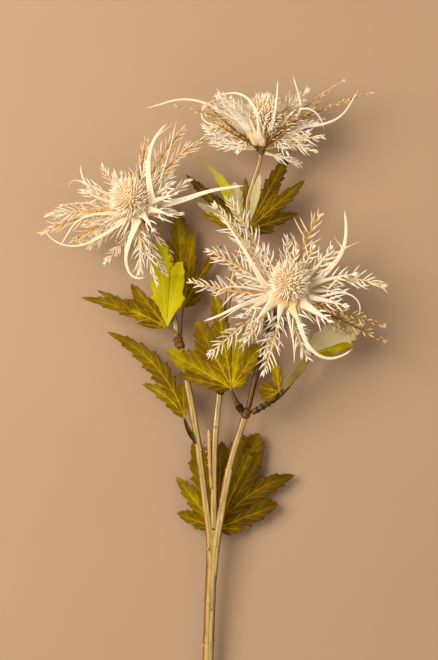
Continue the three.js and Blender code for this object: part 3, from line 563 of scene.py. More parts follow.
# Lobes: direction, length, teeth down each side, half width, and where they differ how far the web to the
# next lobe reaches, as a share of the shorter one, tone, bend, and how soon the lobe narrows.
Leaf = namedtuple("Leaf", "stalk base slope droop spread tone lobes")
Lobe = namedtuple("Lobe", "toward length teeth half web tone bend taper", defaults=(0.5, None, 0, 0.8))
LEAVES = {
    "fork_leaf": Leaf(
        [at(-0.2, -9, 12.6), at(2.6, 3.5, 10.1)], at(2.3, 0.5, 10), (-0.02, -0.02), 0.03, 40, 0.16, [
        (-2, 18, 2, 4, 0.85, 0.3), (21, 43, 3, 6, 0.84), (34, 63, 4, 6.2, 0.52, 0.1, -44),
        # the lobe toward 66 has a paler tone than its neighbours: a painted sheen
        (59, 59, 4, 6, 0.94, 0.1), (66, 68, 4, 7, 0.94, 0.32), (75, 64, 3, 6, 0.84, 0.24),
        (87, 57, 3, 5, 0.7, 0.14), (105, 60, 3, 7.6, 0.68, 0.5), (129, 43, 3, 4.4, 0.73, 0.45),
        (160, 28, 2, 4.6, 0.5, 0.36),
    ]),
    "left_low_leaf": Leaf(
        [at(-14.4, 62, 20.6), at(-19, 73, 20)], at(-18.6, 72, 20), (0.02, 0), 0.06, 12, 0.33, [
        (94, 24, 1, 4, 0.88, 0.26), (132, 79, 6, 6.4, 0.5, None, 52), (141, 37, 3, 4.2, 0.5, 0.44, 48),
    ]),
    "left_mid_leaf": Leaf(
        [at(-23.6, 127.6, 24.9), at(-30, 132, 26)], at(-30, 131.6, 26), (0, 0.05), 0.1, 16, 0.3, [
        (77, 44, 2, 6.2, 0.86, 0.95), (96, 58, 4, 7.6, 0.36, 0.95), (129, 37, 2, 3.6, 0.8),
        (152, 52, 4, 2.8, 0.46), (161, 60, 4, 4.2, 0.6, 0.4, 20), (172, 20, 1, 2, 0.5, 0.1),
    ]),
    "left_back_leaf": Leaf(
        [at(-21.6, 121, 18.2), at(-20.6, 135, 14.8), at(-19.8, 145, 13)], at(-19.8, 144, 13), (0, -0.03),
        0.05, 20, 0.36, [
        (38, 17, 1, 3, 0.5, 0.06), (58, 49, 4, 3.6, 0.26, 0.3, -16), (82, 52, 3, 4.8, 0.9, 0.46),
        (93, 65, 4, 5.4, 0.9, 0.5), (104, 46, 3, 4, 0.5, 0.4),
    ]),
    "centre_leaf": Leaf([at(11.4, 91, 28.6), at(11.6, 94, 28.4)], at(12, 92.4, 28.4), (0, 0), 0.05, 40, 0.5, [
        (41, 13, 1, 4, 0.8), (57, 34, 3, 5.6, 0.8), (80, 34, 2, 4.6, 0.84, 0.7), (100, 68, 5, 5, 0.8, 0.4),
        (118, 49, 3, 6.4, 0.74, 0.36), (150, 50, 4, 5.8, 0.84, 0.6), (167, 37, 3, 3.4, 0.5, 0.26),
    ]),
    "top_right_leaf": Leaf(
        [at(24.6, 194.4, 24.4), at(24, 196, 24.2)], at(22.6, 195.4, 24.2), (0, 0), 0.04, 26, 0.2, [
        (-6, 17, 2, 2.8, 0.6, 0), (17, 34, 3, 3.6, 0.7, 0), (41, 49, 4, 4.6, 0.36, 0.18),
        (54, 37, 2, 2.8, 0.86, 0), (62, 57, 5, 4.8, 0.6, 0.02), (78, 37, 2, 3, 0.7, 1.7),
        (94, 34, 2, 2.4, 0.5, 0.3),
    ]),
    "top_left_leaf": Leaf(
        [at(18.6, 190.6, 20.4), at(17, 197, 18.4)], at(18.4, 196, 18.6), (0, 0), 0.03, 20, 0.1, [
        (78, 25, 1, 3.4, 0.8, 1.6), (99, 31, 2, 4.4, 0.7, 1.4), (122, 58, 4, 4.6, 0.44, 1.16, 44, 2.6),
        (136, 51, 4, 3.6, 0.6), (150, 34, 2, 2.6, 0.7, 1.4), (161, 28, 2, 3, 0.5, 0.45),
    ]),
    "outer_leaf": Leaf([at(62.2, 112.9, 28), at(64, 115, 28)], at(62.8, 114.6, 28), (0, 0), 0.02, 26, 1.7, [
        (12, 29, 2, 4, 0.82, 0.6), (27, 37, 3, 5.6, 0.85), (50, 29, 2, 5, 0.85), (68, 17, 1, 4),
    ]),
    "twig_leaf": Leaf(
        [at(43.6, 88.6, 30.6), at(42.6, 91, 31.2)], at(42.6, 90.4, 31.4), (0, 0.02), 0.05, 30, 0.44, [
        (98, 24, 3, 3.4, 0.4), (168, 14, 1, 4.4, 0.8, 0.2), (206, 13, 1, 3.8, 0.5, 0.3),
    ]),
}


# ---------- Stems ----------

FORK = at(0, 0, 16.5)
MAIN = [at(-9, -STEM_LENGTH, 2.9), at(-6, -206, 7), at(-3.5, -85, 11), at(-0.8, -12, 15.5), FORK]
LEFT = [at(-2.5, -38, 13), at(-2.2, -14, 16), at(-2.7, -1, 17.2), at(-5, 16, 18), at(-8.6, 45, 20),
        at(-12, 68, 21), at(-19, 107, 22), at(-21, 117, 22)]
MIDDLE = [at(0.2, 1, 17), at(0.2, 26, 19.5), at(0.8, 58, 20.5), at(2.6, 78, 20.5), at(4, 91, 20.5),
          at(8, 140, 20), at(16, 177, 22.5), at(20.4, 188, 24)]
RIGHT = [at(-1.1, -38, 13), at(1.4, -13, 16.3), at(3, -1, 17.3), at(6.5, 20, 19.5), at(10.2, 40, 22),
         at(14.2, 55, 24), at(18.4, 68, 26), at(19.8, 73, 26.6)]
SLEEVE = RIGHT[:5]
STUB = [at(-1.2, 27, 21), at(-2.4, 45, 22.4), at(-3, 64, 22.9)]
OUTER_TWIG = [at(25.2, 76.6, 26.4), at(32, 80.5, 27.5), at(44, 89, 28.5), at(56, 104, 28.5),
              at(62, 112.5, 28)]
INNER_TWIG = [at(18.6, 77.2, 28.4), at(14.6, 84, 28.8), at(11.6, 90.4, 28.6)]

# Mould joints along the long stem, counted down from the fork
JOINTS = (14, 49, 75, 104, 131, 163, 192, 226, 258, 287)

# Collars: foot, axis, length. Their ribs, and the flare of the middle branch's cap: (radius, tone) and
# (radius, height, tone)
COLLARS = {
    "left": (at(-21.1, 117.4, 22), at(-0.28, 0.95, 0.02).normalized(), 9),
    "right": (at(19.9, 73.4, 26.7), at(0.4, 0.9, 0.1).normalized(), 6),
    "top": (at(20.6, 188.4, 24.1), at(0.22, 0.97, 0.05).normalized(), 7),
}
RIBS = [(2.3, 0.0), (2.8, 0.2), (3.2, 0.7), (3.35, 0.3), (3.2, 0.1), (3.3, 0.2), (2.9, 0.8), (2.7, 0.3),
        (3.3, 0.1), (3.4, 0.3), (3.1, 0.7), (2.6, 0.3), (2.2, 0.1)]
FLARE = [(1.9, 0, 1.0), (2.6, 1.2, 0.9), (3.3, 3.4, 1.0), (4.6, 6.6, 0.9), (4.9, 8.2, 1.0), (3.4, 9.4, 1.0)]


def collar_top(name):
    foot, axis, length = COLLARS[name]
    return foot + axis * (length + GAP)


def calyx_foot(head):
    return head.hub + head.axis * (-HUB_HALF - GAP - CALYX_LENGTH)


def twig_end(head):
    """The last two points of the twig that carries a head."""
    end = head.hub + head.axis * (-HUB_HALF - 2 * GAP - CALYX_LENGTH)
    return end - head.axis * 7, end


def joint_dip(far, joints):
    """A thin ring groove at each joint, with a slight swelling below it."""
    dip = 0.0
    for joint in joints:
        gap = far - joint
        dip += -0.09 * exp(-(gap / 0.7) ** 2) + 0.07 * exp(-((gap - 1.8) / 1.6) ** 2)
    return dip


def moulded_rod(shape, points, radii, steps, ridge, joints=(), length=1.0, groove=0.1):
    """A rod with a groove along its top and its underside, and a tone that differs left and right."""
    def section(share):
        size = mix(*radii, share) * (1 + joint_dip(share * length, joints))
        outline = []
        for angle in circle(STEM_SIDES, 0.5):
            valley = groove * exp(-(cos(angle) / 0.2) ** 2)
            reach = size * (1 + ridge * cos(2 * angle) - valley)
            # the tone is 0 at the left flank, 0.5 over the top and underside along the groove, and 1 at the
            # right flank; the stem plastics paint shade at both flanks and along the groove
            tone = clamp(0.5 + 0.6 * cos(angle))
            outline.append((reach * cos(angle), reach * sin(angle), tone))
        return outline
    shape.sweep(spline(points, steps), section)


def nub(shape, place, way, size=0.8):
    """A small leaf scar: a blunt knob that stands off a stem."""
    shape.spike(place, way, 1.5 * size, 1.15 * size, STRAIGHT, 8, 4, (0.2, 0.9))


def stems():
    stem = Shape()
    joints = [STEM_LENGTH - joint for joint in JOINTS]
    moulded_rod(stem, MAIN, (STEM_RADIUS, STEM_RADIUS), 330, STEM_RIDGE, joints, STEM_LENGTH, 0.16)
    nub(stem, at(-3.4, -12.5, 18.2), at(-0.5, 0.4, 1), 1)
    nub(stem, at(1.6, -10.5, 18.6), at(0.4, 0.5, 1))
    nub(stem, at(2.9, -18, 16.2), at(1, 0.3, 0.5))
    for place in (at(-6.1, -76, 12.6), at(-1.8, -52, 15.6), at(-7.4, -163, 10.2), at(-7.2, -257, 7)):
        nub(stem, place, at(-0.3, 0.5, 0.8))
    make("main_stem_skin", stem, STEM, "stem", "main_stem")

    branch = Shape()
    moulded_rod(branch, LEFT, (2.5, 2.1), 140, 0.06, (72, 118), 154)
    nub(branch, at(-8.4, 52, 22), at(0.6, 0.4, 0.7), 0.9)
    nub(branch, at(-13.4, 62.5, 21.4), at(-0.9, 0.2, 0.4))
    make("left_branch_skin", branch, STEM, "stem", "left_branch")

    branch = Shape()
    moulded_rod(branch, MIDDLE, (2.3, 1.7), 170, 0.06, (24, 70, 118), 192)
    # a cut stub beside the branch, with the knobs of leaves that were trimmed off
    branch.tube(spline(STUB, 14), 1.25, 1.25, 10, 0.4)
    nub(branch, at(-3.0, 64, 23), at(0.1, 1, 0.25), 1)
    nub(branch, at(1.2, 67, 22.2), at(-0.5, 0.7, 0.5), 1)
    for x, y in ((-3.6, 47), (-4.6, 51), (-4.9, 55), (-3.2, 42)):
        nub(branch, at(x, y, 22.6), at(-0.6, 0.6, 0.6), 0.75)
    make("middle_branch_skin", branch, STEM, "stem", "middle_branch")
    cap = Shape()
    cap.lathe(at(4.4, 88.2, 21.2), at(0.16, 0.98, 0.1).normalized(), FLARE, 20, 0.08)
    make("middle_branch_cap", cap, TWIG, "stem", "middle_branch")

    branch = Shape()
    moulded_rod(branch, RIGHT, (2.2, 2.1), 100, 0.05)
    moulded_rod(branch, SLEEVE, (2.6, 2.6), 70, 0.06, (48,), 70)
    make("right_branch_skin", branch, STEM, "stem", "right_branch")

    for name, (foot, axis, length) in COLLARS.items():
        collar = Shape()
        profile = [(radius, length * i / (len(RIBS) - 1), tone) for i, (radius, tone) in enumerate(RIBS)]
        collar.lathe(foot, axis, profile, 24, 0.05)
        make(f"{name}_collar_skin", collar, TWIG, "twig", f"{name}_collar")


def twig(name, points, radii, material, rings=()):
    """A twig, with a raised ring at each of some points of its line."""
    rod = Shape()
    moulded_rod(rod, points, radii, TWIG_STEPS, 0.06, (7, 23, 41), 70)
    line = spline(points, 40)
    radius = radii[0]
    outline = [(radius, -0.6, 1.0), (radius * 1.3, -0.2, 1.0), (radius * 1.3, 0.2, 1.0), (radius, 0.6, 1.0)]
    for i in rings:
        rod.lathe(line[i], (line[i + 1] - line[i]).normalized(), outline, 16)
    make(f"{name}_twig_skin", rod, material, "twig", f"{name}_twig")


def twigs():
    twig("left", [collar_top("left"), at(-26.5, 142, 21), at(-34, 168, 17), *twig_end(HEADS["left"])],
         (1.8, TWIG_RADIUS), STEM)
    twig("top", [collar_top("top"), at(22.4, 214, 23), *twig_end(HEADS["top"])], (1.6, 1.3), STEM)
    twig("centre", [collar_top("right"), at(27, 98, 25.5), at(33, 122, 22), *twig_end(HEADS["right"])],
         (1.7, TWIG_RADIUS), TWIG)
    twig("outer", OUTER_TWIG, (1.8, 1.3), TWIG, (3, 6, 9, 12))
    twig("inner", INNER_TWIG, (2.0, 0.9), TWIG, (3, 6, 9, 12))


# ---------- Leaves ----------

# Where a lobe's edge swells and is nicked over each of its teeth: (share of the tooth, width)
TOOTH = ((0.14, 0.92), (0.34, 1.06), (0.43, 0.95), (0.67, 1.24), (0.76, 0.93), (0.9, 0.8), (1.0, 0.86))


def tooth_at(teeth, share):
    """How far out a toothed edge is at a share of the way, between its nearest two points."""
    before = [(0, 1), *(spot for spot in teeth if spot[0] <= share)][-1]
    after = next((spot for spot in teeth if spot[0] > share), teeth[-1])
    span = after[0] - before[0]
    return mix(before[1], after[1], (share - before[0]) / span) if span > 1e-6 else before[1]


def leaf_sheet(leaf):
    """A leaf as one sheet with a vein map. Its lobes meet along the lines to their notches."""
    base, lobes = leaf.base, [Lobe(*row) for row in leaf.lobes]
    flat = raised(base)
    build = bmesh.new()
    veins = build.loops.layers.uv.new("vein")
    tones = build.verts.layers.float.new("tone")
    fades = build.verts.layers.float.new("along")

    def height(spot, lobe, share, off):
        tilt = leaf.slope[0] * (spot.x - base.x) + leaf.slope[1] * (spot.y - base.y)
        return base.z + tilt + LEAF_FOLD * off - leaf.droop * lobe.length * share * share

    def rib(lobe, share):
        return grow(flat, lobe.toward - lobe.bend / 2, lobe.length * share, 4, turn=(lobe.bend * share,))[-1]

    def beside_rib(lobe, share):
        """The direction out from a lobe's rib, in plan."""
        along = (rib(lobe, share) - rib(lobe, share - 0.04)).normalized()
        return at(along.y, -along.x, 0)

    def side(lobe, spread):
        spot = flat + aim(lobe.toward + spread) * (0.22 * lobe.length)
        return raised(spot, height(spot, lobe, 0.2, 0.1 * lobe.length))

    def notch(a, b):
        reach = a.web * min(a.length, b.length)
        near = rib(a, reach / a.length)
        spot = near.lerp(rib(b, reach / b.length), 0.5)
        return raised(spot, height(spot, a, reach / a.length, (spot - near).length))

    def edge_at(lobe, share, sign, start, first, teeth):
        """A lobe's edge: along the web to the notch, then out over the teeth, easing away from the notch."""
        level = raised(start)
        if share <= first + 0.001:
            edge = flat.lerp(level, share / first)
            edge.z = mix(base.z, start.z, share / first)
            return edge
        way = (share - first) / (1 - first)
        narrow = (1 - way) ** lobe.taper + LEAF_BULGE * sin(pi * way)
        off = tooth_at(teeth, share) * lobe.half * narrow if way < 0.999 else 0
        edge = rib(lobe, share) + beside_rib(lobe, share) * (sign * off)
        jump = level - (rib(lobe, first) + beside_rib(lobe, first) * (sign * lobe.half))
        edge += jump * clamp(1 - way / 0.2)
        edge.z = height(edge, lobe, share, off)
        edge.z = mix(start.z, edge.z, clamp(way / 0.2))
        return edge

    def row_at(lobe, share, sign, edge):
        """Points from the rib to the edge, waved, each with its place on the vein map and along the lobe."""
        middle = rib(lobe, share)
        low = height(middle, lobe, share, 0)
        half = hypot(edge.x - middle.x, edge.y - middle.y)
        row = []
        for c in range(LEAF_COLUMNS + 1):
            across = c / LEAF_COLUMNS
            spot = middle.lerp(raised(edge), across)
            z = mix(low, edge.z, across) + 0.35 * sin(pi * across) * min(half, 8) / 8
            far = hypot(spot.x - base.x, spot.y - base.y)
            z += 1.6 * noise.noise(at(spot.x * 0.06, spot.y * 0.06, base.z)) * min(1, far / 14)
            row.append((raised(spot, z), (share * lobe.length, sign * across * half), share))
        return row

    notches = [side(lobes[0], -leaf.spread), *(notch(a, b) for a, b in zip(lobes, lobes[1:])),
               side(lobes[-1], leaf.spread)]
    for i, lobe in enumerate(lobes):
        sides = []
        shares = set()
        for sign, start in ((1, notches[i]), (-1, notches[i + 1])):
            first = clamp((start - raised(base, start.z)).length / lobe.length, 0.05, 0.85)
            teeth = [(mix(first, 1, (k + part) / lobe.teeth), size) for k in range(lobe.teeth)
                     for part, size in TOOTH]
            sides.append((sign, start, first, teeth))
            shares.update(round(first * k / WEB_ROWS, 3) for k in range(WEB_ROWS + 1))
            shares.update(round(share, 3) for share, _ in teeth)
        for sign, *own in sides:
            rows = [row_at(lobe, share, sign, edge_at(lobe, share, sign, *own)) for share in sorted(shares)]
            for one, two in zip(rows, rows[1:]):
                for c in range(LEAF_COLUMNS):
                    cells = [one[c], one[c + 1], two[c + 1], two[c]]
                    if sign < 0:
                        cells.reverse()
                    corners = [build.verts.new(p) for p, *_ in cells]
                    for corner, (_, _, share) in zip(corners, cells):
                        corner[tones] = (leaf.tone if lobe.tone is None else lobe.tone) / 2
                        corner[fades] = share
                    for loop, (_, uv, _) in zip(build.faces.new(corners).loops, cells):
                        loop[veins].uv = uv
    bmesh.ops.remove_doubles(build, verts=build.verts, dist=0.02)
    bmesh.ops.dissolve_degenerate(build, dist=0.01, edges=build.edges)
    return build


def make_leaf(name, leaf):
    build = leaf_sheet(leaf)
    for vertex in build.verts:
        vertex.co = at(vertex.co.x * MM, (vertex.co.y + FORK_Y) * MM, vertex.co.z * MM)
    mesh = bpy.data.meshes.new(f"{name}_sheet")
    build.to_mesh(mesh)
    build.free()
    mesh.materials.append(LEAF)
    sheet = shown(f"{name}_sheet", mesh)
    thick = sheet.modifiers.new("thick", "SOLIDIFY")
    thick.thickness = LEAF_THICK * MM
    thick.offset = 0
    solid = bpy.data.meshes.new_from_object(sheet.evaluated_get(bpy.context.evaluated_depsgraph_get()))
    bpy.data.objects.remove(sheet)
    bpy.data.meshes.remove(mesh)
    solid.shade_smooth()
    finish_piece(shown(f"{name}_cloth", solid), "leaf", name)
    stalk = Shape()
    stalk.tube(spline(leaf.stalk, 8), 1.0, 0.55, 8, 0.5)
    make(f"{name}_stalk", stalk, STEM, "leaf", name)


def sheath(name, points, wide, tones, node):
    """A strip of leaf that is wrapped round a stem, dark outside and pale where it curls over."""
    def section(share):
        half = wide * sin(pi * mix(0.12, 0.9, share)) / 2
        spots = []
        for k in range(7):
            angle = pi * (k / 6 - 0.5) * 1.3
            spots.append((half * sin(angle), 0.55 * half * cos(angle), mix(*tones, (k / 6) ** 3)))
        inner = [(0.82 * a, 0.82 * u - 0.1, min(tone + 0.3, 1)) for a, u, tone in spots]
        return spots[::-1] + inner
    strip = Shape()
    strip.sweep(spline(points, 24), section)
    make(name, strip, SHEATH, "leaf", node)


# ---------- Flower heads ----------

# Each head's needles: spacing, thickness, length as a share of the comb's half width, and the least and
# greatest angle that they leave the rib at
COMBS = {"left": (2.6, 0.48, 2.0, (20, 46)), "top": (2.6, 0.46, 2.0, (22, 50)),
         "right": (3.1, 0.58, 2.4, (32, 60))}

# The long combs that are browner than the rest, by direction and how much, and those with shorter needles
TANNED = {"left": {46: 0.3, 60: 0.3, 84: 0.36, 194: 0.36, 205: 0.3},
          "top": {160: 0.3, 156: 0.3, 22: 0.3, 37: 0.3},
          "right": {-17: 0.5, -24: 0.6, 67: 0.36}}
SLIM = {"left": {174: 0.3}, "top": {160: 0.3, 22: 0.3, 37: 0.3}, "right": {-17: 0.56, -24: 0.6}}

# Pale bracts close round each cone: direction, length, climb, half width, and rise of the foot above the hub
PETALS = {
    "left": [(150, 36, 16, 4.6, 3), (168, 36, 20, 5.2, 3), (196, 34, 10, 2.8), (214, 30, 14, 2.6),
             (130, 27, 26, 2.6), (62, 34, 10, 2.6), (82, 30, 16, 2.4), (40, 32, 8, 2.6), (14, 28, 32, 6.4, 5),
             (-10, 26, 38, 6.4, 5), (-46, 23, 44, 5.4, 4), (36, 29, 26, 6, 5), (108, 24, 24, 2.4)],
    "top": [(122, 30, -20, 2.8), (139, 37, 30, 7, 8), (151, 36, 24, 7, 7), (128, 31, 34, 6.4, 9),
            (145, 30, 40, 6, 9), (160, 33, 20, 6, 5), (168, 36, 16, 2.8), (190, 28, 12, 2.6),
            (20, 34, 12, 2.8), (38, 34, 6, 2.6), (54, 34, -6, 3.4), (0, 28, 14, 2.8), (-20, 26, 10, 2.8),
            (222, 22, 14, 2.6), (-48, 22, 14, 2.6)],
    "right": [(26, 47, 14, 5), (38, 43, 12, 4.4), (12, 38, 16, 4.4), (55, 36, 16, 3.6), (150, 34, 16, 4.6),
              (-6, 40, 20, 6.4, 3), (-34, 35, 30, 9.5, 3), (250, 24, 36, 7, 3), (286, 25, 36, 8.6, 3),
              (222, 29, 32, 8.6, 3), (110, 32, 20, 3), (132, 34, 16, 3.6), (180, 30, 14, 4.2),
              (78, 30, 20, 3), (200, 34, 30, 6.6, 3)],
}

# Combs that spring from the cup below each hub: direction, length, climb, turn, shade, and where they differ
# the rise and the half width of a petal-like foot
SKIRTS = {
    "left": [(-52, 30, -6, -14, -0.2), (-66, 40, 0, 10, 0.1), (232, 34, -4, -16, 0),
             (205, 40, -10, -20, -0.3)],
    "top": [(141, 43, 32, -10, -0.6, 9), (150, 38, 24, -20, -0.5, 7), (162, 34, 8, -26, 0.2, 4),
            (170, 32, 0, -24, 0.3, 3), (132, 27, 30, 8, 0.2, 10, 5), (48, 36, 30, 6, -0.6, 9),
            (38, 44, 20, 8, -0.5, 8), (26, 44, 10, -14, 0, 5), (4, 32, 2, -14, 0.3, 3),
            (-14, 26, 0, 8, 0.3, 2), (60, 28, 32, 6, -0.5, 9), (52, 26, 24, -6, -0.6, 7),
            (97, 23, 50, 0, 0.3, 10, 4.6), (112, 23, 46, 6, 0.2, 10, 4.2), (82, 19, 46, -8, 0.1, 10, 3.4),
            (126, 24, 40, 6, 0.2, 10, 4)],
    "right": [(250, 32, 2, 10, -0.2), (228, 34, 6, 10, -0.1), (300, 32, -4, 10, -0.3),
              (-26, 48, -6, -8, -0.45, 6), (-14, 52, -5, -6, -0.5, 9), (-8, 36, 0, -16, -0.4, 9),
              (108, 30, 8, 8, -0.45, 2)],
}

# How far below the hub those combs spring, from and to, and how they lift
SKIRT_FEET = {"left": (5, 8.5, -8), "top": (9.5, 12.5, -44), "right": (5, 8.5, -8)}

# The cup below each hub: (radius, height, tone)
CUP = [(1.9, 0, 0.2), (2.5, 0.8, 0.6), (2.9, 1.6, 0.3), (2.5, 2.6, 0.1), (2.6, 3.4, 0.4), (3.3, 4.8, 0.6),
       (3.9, 6.4, 0.5), (4.4, 7.8, 0.3), (4.6, CALYX_LENGTH, 0.2)]


def around(side, up, k):
    """The direction of the k-th of many things that stand evenly round an axis."""
    return side * cos(k * GOLDEN) + up * sin(k * GOLDEN)


def away(axis, toward):
    """The direction out from an axis that is nearest to one in plan."""
    flat = aim(toward)
    return (flat - axis * flat.dot(axis)).normalized()


def point_on(line, share):
    place = clamp(share) * (len(line) - 1)
    i = min(int(place), len(line) - 2)
    return line[i].lerp(line[i + 1], place - i), i


def bract(shape, line, wide, roll, random, comb, shade, bare, blade=0.0):
    """A comb bract: a thin blade along a rib, and down each side a row of needles that are shorter towards
    its tip. bare is the share of the rib that has none, and blade the half width of a petal-like foot."""
    step, thick, long, splay = comb
    directions = frames(line, roll)
    length = sum((q - p).length for p, q in zip(line, line[1:]))

    def section(share):
        half = 0.5 * mix(3.2, 0.7, share ** 0.7) * wide / BRACT_WIDE
        if blade:
            swell = 0.55 + 0.45 * sin(pi * min(share * 2.4 + 0.1, 1))
            half = blade * max((1 - share) ** 0.8, 0.1) * swell
        up = 0.5 * mix(1.0, 0.5, share)
        rib = shade + mix(0.18, 0.62, share ** 0.6)
        spots = ((1, 0, 0.3), (0.35, 1, 0), (-0.35, 1, 0), (-1, 0, 0.3), (-0.3, -0.7, 0), (0.3, -0.7, 0))
        return [(half * a, up * u, rib + pale) for a, u, pale in spots]
    shape.sweep(line, section, roll)
    count = int(length * (1 - bare) / step)
    for k in range(count):
        share = mix(bare, 0.97, k / max(count - 1, 1))
        end = clamp((share - 0.7) / 0.3)
        size = wide * 0.5 * sin(pi * (0.25 + 0.5 * share)) * mix(1, 0.6, end)
        for side in (-1, 1):
            place, i = point_on(line, clamp(share + random(-0.5, 0.5) * step / length))
            along, across, face = directions[i]
            reach = size * long * random(0.62, 1.3)
            lean = radians(random(*splay)) * mix(1, 0.62, end)
            way = across * (side * sin(lean)) + along * cos(lean)
            way += face * random(-0.1, 0.45)
            bend = across * side * random(-0.32, 0.08) + face * random(-0.2, 0.25)
            bend += along * random(0, 0.2)
            tones = (shade + random(0.42, 0.62), shade + random(0.95, 1.25))
            if blade:
                place = place + across * (side * blade * 0.6 * (1 - share))
            shape.needle(place, way, reach, thick * random(0.8, 1.2), bend, tones)
            if random() < FORKED:
                fork = place + way.normalized() * (reach * 0.4)
                ahead = along + across * side * 0.1 + face * 0.2
                shape.needle(fork, ahead, reach * 0.5, thick * 0.7, bend, tones)
    tip, i = point_on(line, 0.97)
    along, across, face = directions[i]
    for lean in (-0.2, 0.05, 0.25):
        reach = wide * random(0.3, 0.55)
        shape.needle(tip, along + across * lean, reach, thick, face * 0.1, (shade + 0.6, shade + 1))


def corona(shape, name, head, random):
    """What stands close round the cone: petal-like bracts with a fringe, short combs, and pale needles."""
    axis, hub, comb = head.axis, head.hub, COMBS[name]
    step, thick, long, splay = comb
    side, up = sides_of(axis)

    def petal(toward, length, climb, blade, rise=0):
        foot = hub + away(axis, toward) * BRACT_ROOT + axis * random(1, 3) + UP * rise
        turn, lift = random(-24, 24), random(-26, -8)
        line = grow(foot, toward, length - BRACT_ROOT, PETAL_STEPS, climb, (turn,), (lift,))
        broad = blade > BROAD
        shade = random(0.15, 0.4) if broad else random(0.05, 0.3)
        bract(shape, above(line, FRINGE_LOWEST), 8, random(-30, 30), random, comb, shade,
              0.66 if broad else 0.4, blade)

    def skirt(toward, length, climb, turn, shade, rise=1.5, blade=0):
        near, far, lift = SKIRT_FEET[name]
        foot = hub - axis * random(near, far) + aim(toward) * 3 + UP * rise
        line = grow(foot, toward - turn / 2, length, SKIRT_STEPS, climb, (turn,), (lift,))
        needles = (step, thick, long * 0.5, splay) if shade <= BROWN else comb
        bract(shape, above(line, FRINGE_LOWEST), 8, random(-20, 20), random, needles, shade,
              0.85 if blade else 0.2, blade)

    for row in PETALS[name]:
        petal(*row)
    for row in SKIRTS[name]:
        skirt(*row)
    steepest = 0.12 if name == "top" else 0.5
    for k in range(CORONA):
        share = (k + 0.5) / CORONA
        out = around(side, up, k)
        climb = radians(mix(-8, 38, share) + random(-8, 8))
        foot = hub + out * mix(8.6, 7.2, share) + axis * mix(0.5, 3, share)
        way = out * cos(climb) + axis * sin(climb) + side * random(-0.2, 0.2)
        length = mix(21, 12, share) * random(0.7, 1.15)
        if (foot + way * length).z > FRINGE_LOWEST and way.z < steepest:
            bend = out * random(-0.1, 0.3) - axis * random(0, 0.2)
            wide = thick * random(1.1, 1.7)
            shape.needle(foot, way, length, wide, bend, (0.35, random(0.8, 1.1)))


def make_combs(name, head, random):
    """The hub, the long combs, which are the solids' own, and what stands close round the cone."""
    draw = Seeded(head.seed)
    step, thick, long, splay = COMBS[name]
    combs = Shape()
    combs.lathe(head.hub, head.axis, ball(9, HUB_RADIUS, HUB_HALF, 0.35), HUB_SIDES, 0.05)
    for toward, reach, climb, turn, lift, *rest in head.bracts:
        wide = rest[0] if rest else BRACT_WIDE
        foot = away(head.axis, toward) * BRACT_ROOT + head.hub
        foot += head.axis * mix(-ROOT_SPREAD, ROOT_SPREAD, draw())
        roll = mix(-22, 22, draw())
        for _ in range(5 * BRACT_TEETH):  # the draws for the solids' teeth
            draw()
        line = grow(foot, toward - turn / 2, reach - BRACT_ROOT, BRACT_STEPS, climb, (turn,), (lift,))
        shade = 0.0 if climb > HANGING else -0.25
        shade += random(-0.08, 0.08) - TANNED[name].get(toward, 0)
        slim = SLIM[name].get(toward)
        needles = (step * 1.3, thick * 0.9, long * slim, splay) if slim else COMBS[name]
        bract(combs, above(line, COMB_LOWEST), wide, roll, random, needles, shade, COMB_BARE)
    corona(combs, name, head, random)
    make(f"{name}_head_combs", combs, BRACT, "bract", f"{name}_head_bracts")


def strap(shape, line, wide):
    """A strap: a shallow bowl at its foot that narrows, folds into a channel and draws out to a fine tip."""
    def section(share):
        swell = mix(0.5, 1.0, share / 0.1) if share < 0.1 else mix(1, 0.16, ((share - 0.1) / 0.9) ** 0.28)
        left = 1 if share < 0.93 else (1 - share) / 0.07
        half = max(wide * swell / 2 * left, 0.12)
        cup = 0.5 * half * (1 - share) ** 1.5
        thick = mix(0.55, 0.35, share) * (1 if share < 0.93 else mix(0.5, 1, left))
        spread = (-1, -0.6, -0.2, 0.2, 0.6, 1)
        return [(half * a, cup * a * a + face * thick * (1 - 0.8 * abs(a)), tone + 0.5 * abs(a))
                for face, tone, places in ((1, 0.45, spread[::-1]), (-1, 0.3, spread)) for a in places]
    shape.sweep(line, section)


def make_straps(name, head):
    """The curling straps, each from its place round the hub, and their forks."""
    axis = head.axis
    across = (at(1, 0, 0) - axis * axis.x).normalized()
    straps = Shape()

    def fork(line, share, heading, climb, length, turn=(0,), lift=(0,), wide=1.6):
        start = line[round(share * STRAP_STEPS)]
        strap(straps, grow(start, heading, length, FORK_STEPS, climb, turn, lift), wide)

    for root, heading, climb, length, turn, lift, wide, *forks in head.straps:
        foot = head.hub + Matrix.Rotation(radians(root), 3, axis) @ across * STRAP_ROOT + axis
        line = grow(foot, heading, length, STRAP_STEPS, climb, turn, lift)
        strap(straps, line, wide)
        for row in forks:
            fork(line, *row)
    make(f"{name}_head_straps", straps, STRAP, "bract", f"{name}_head_bracts")


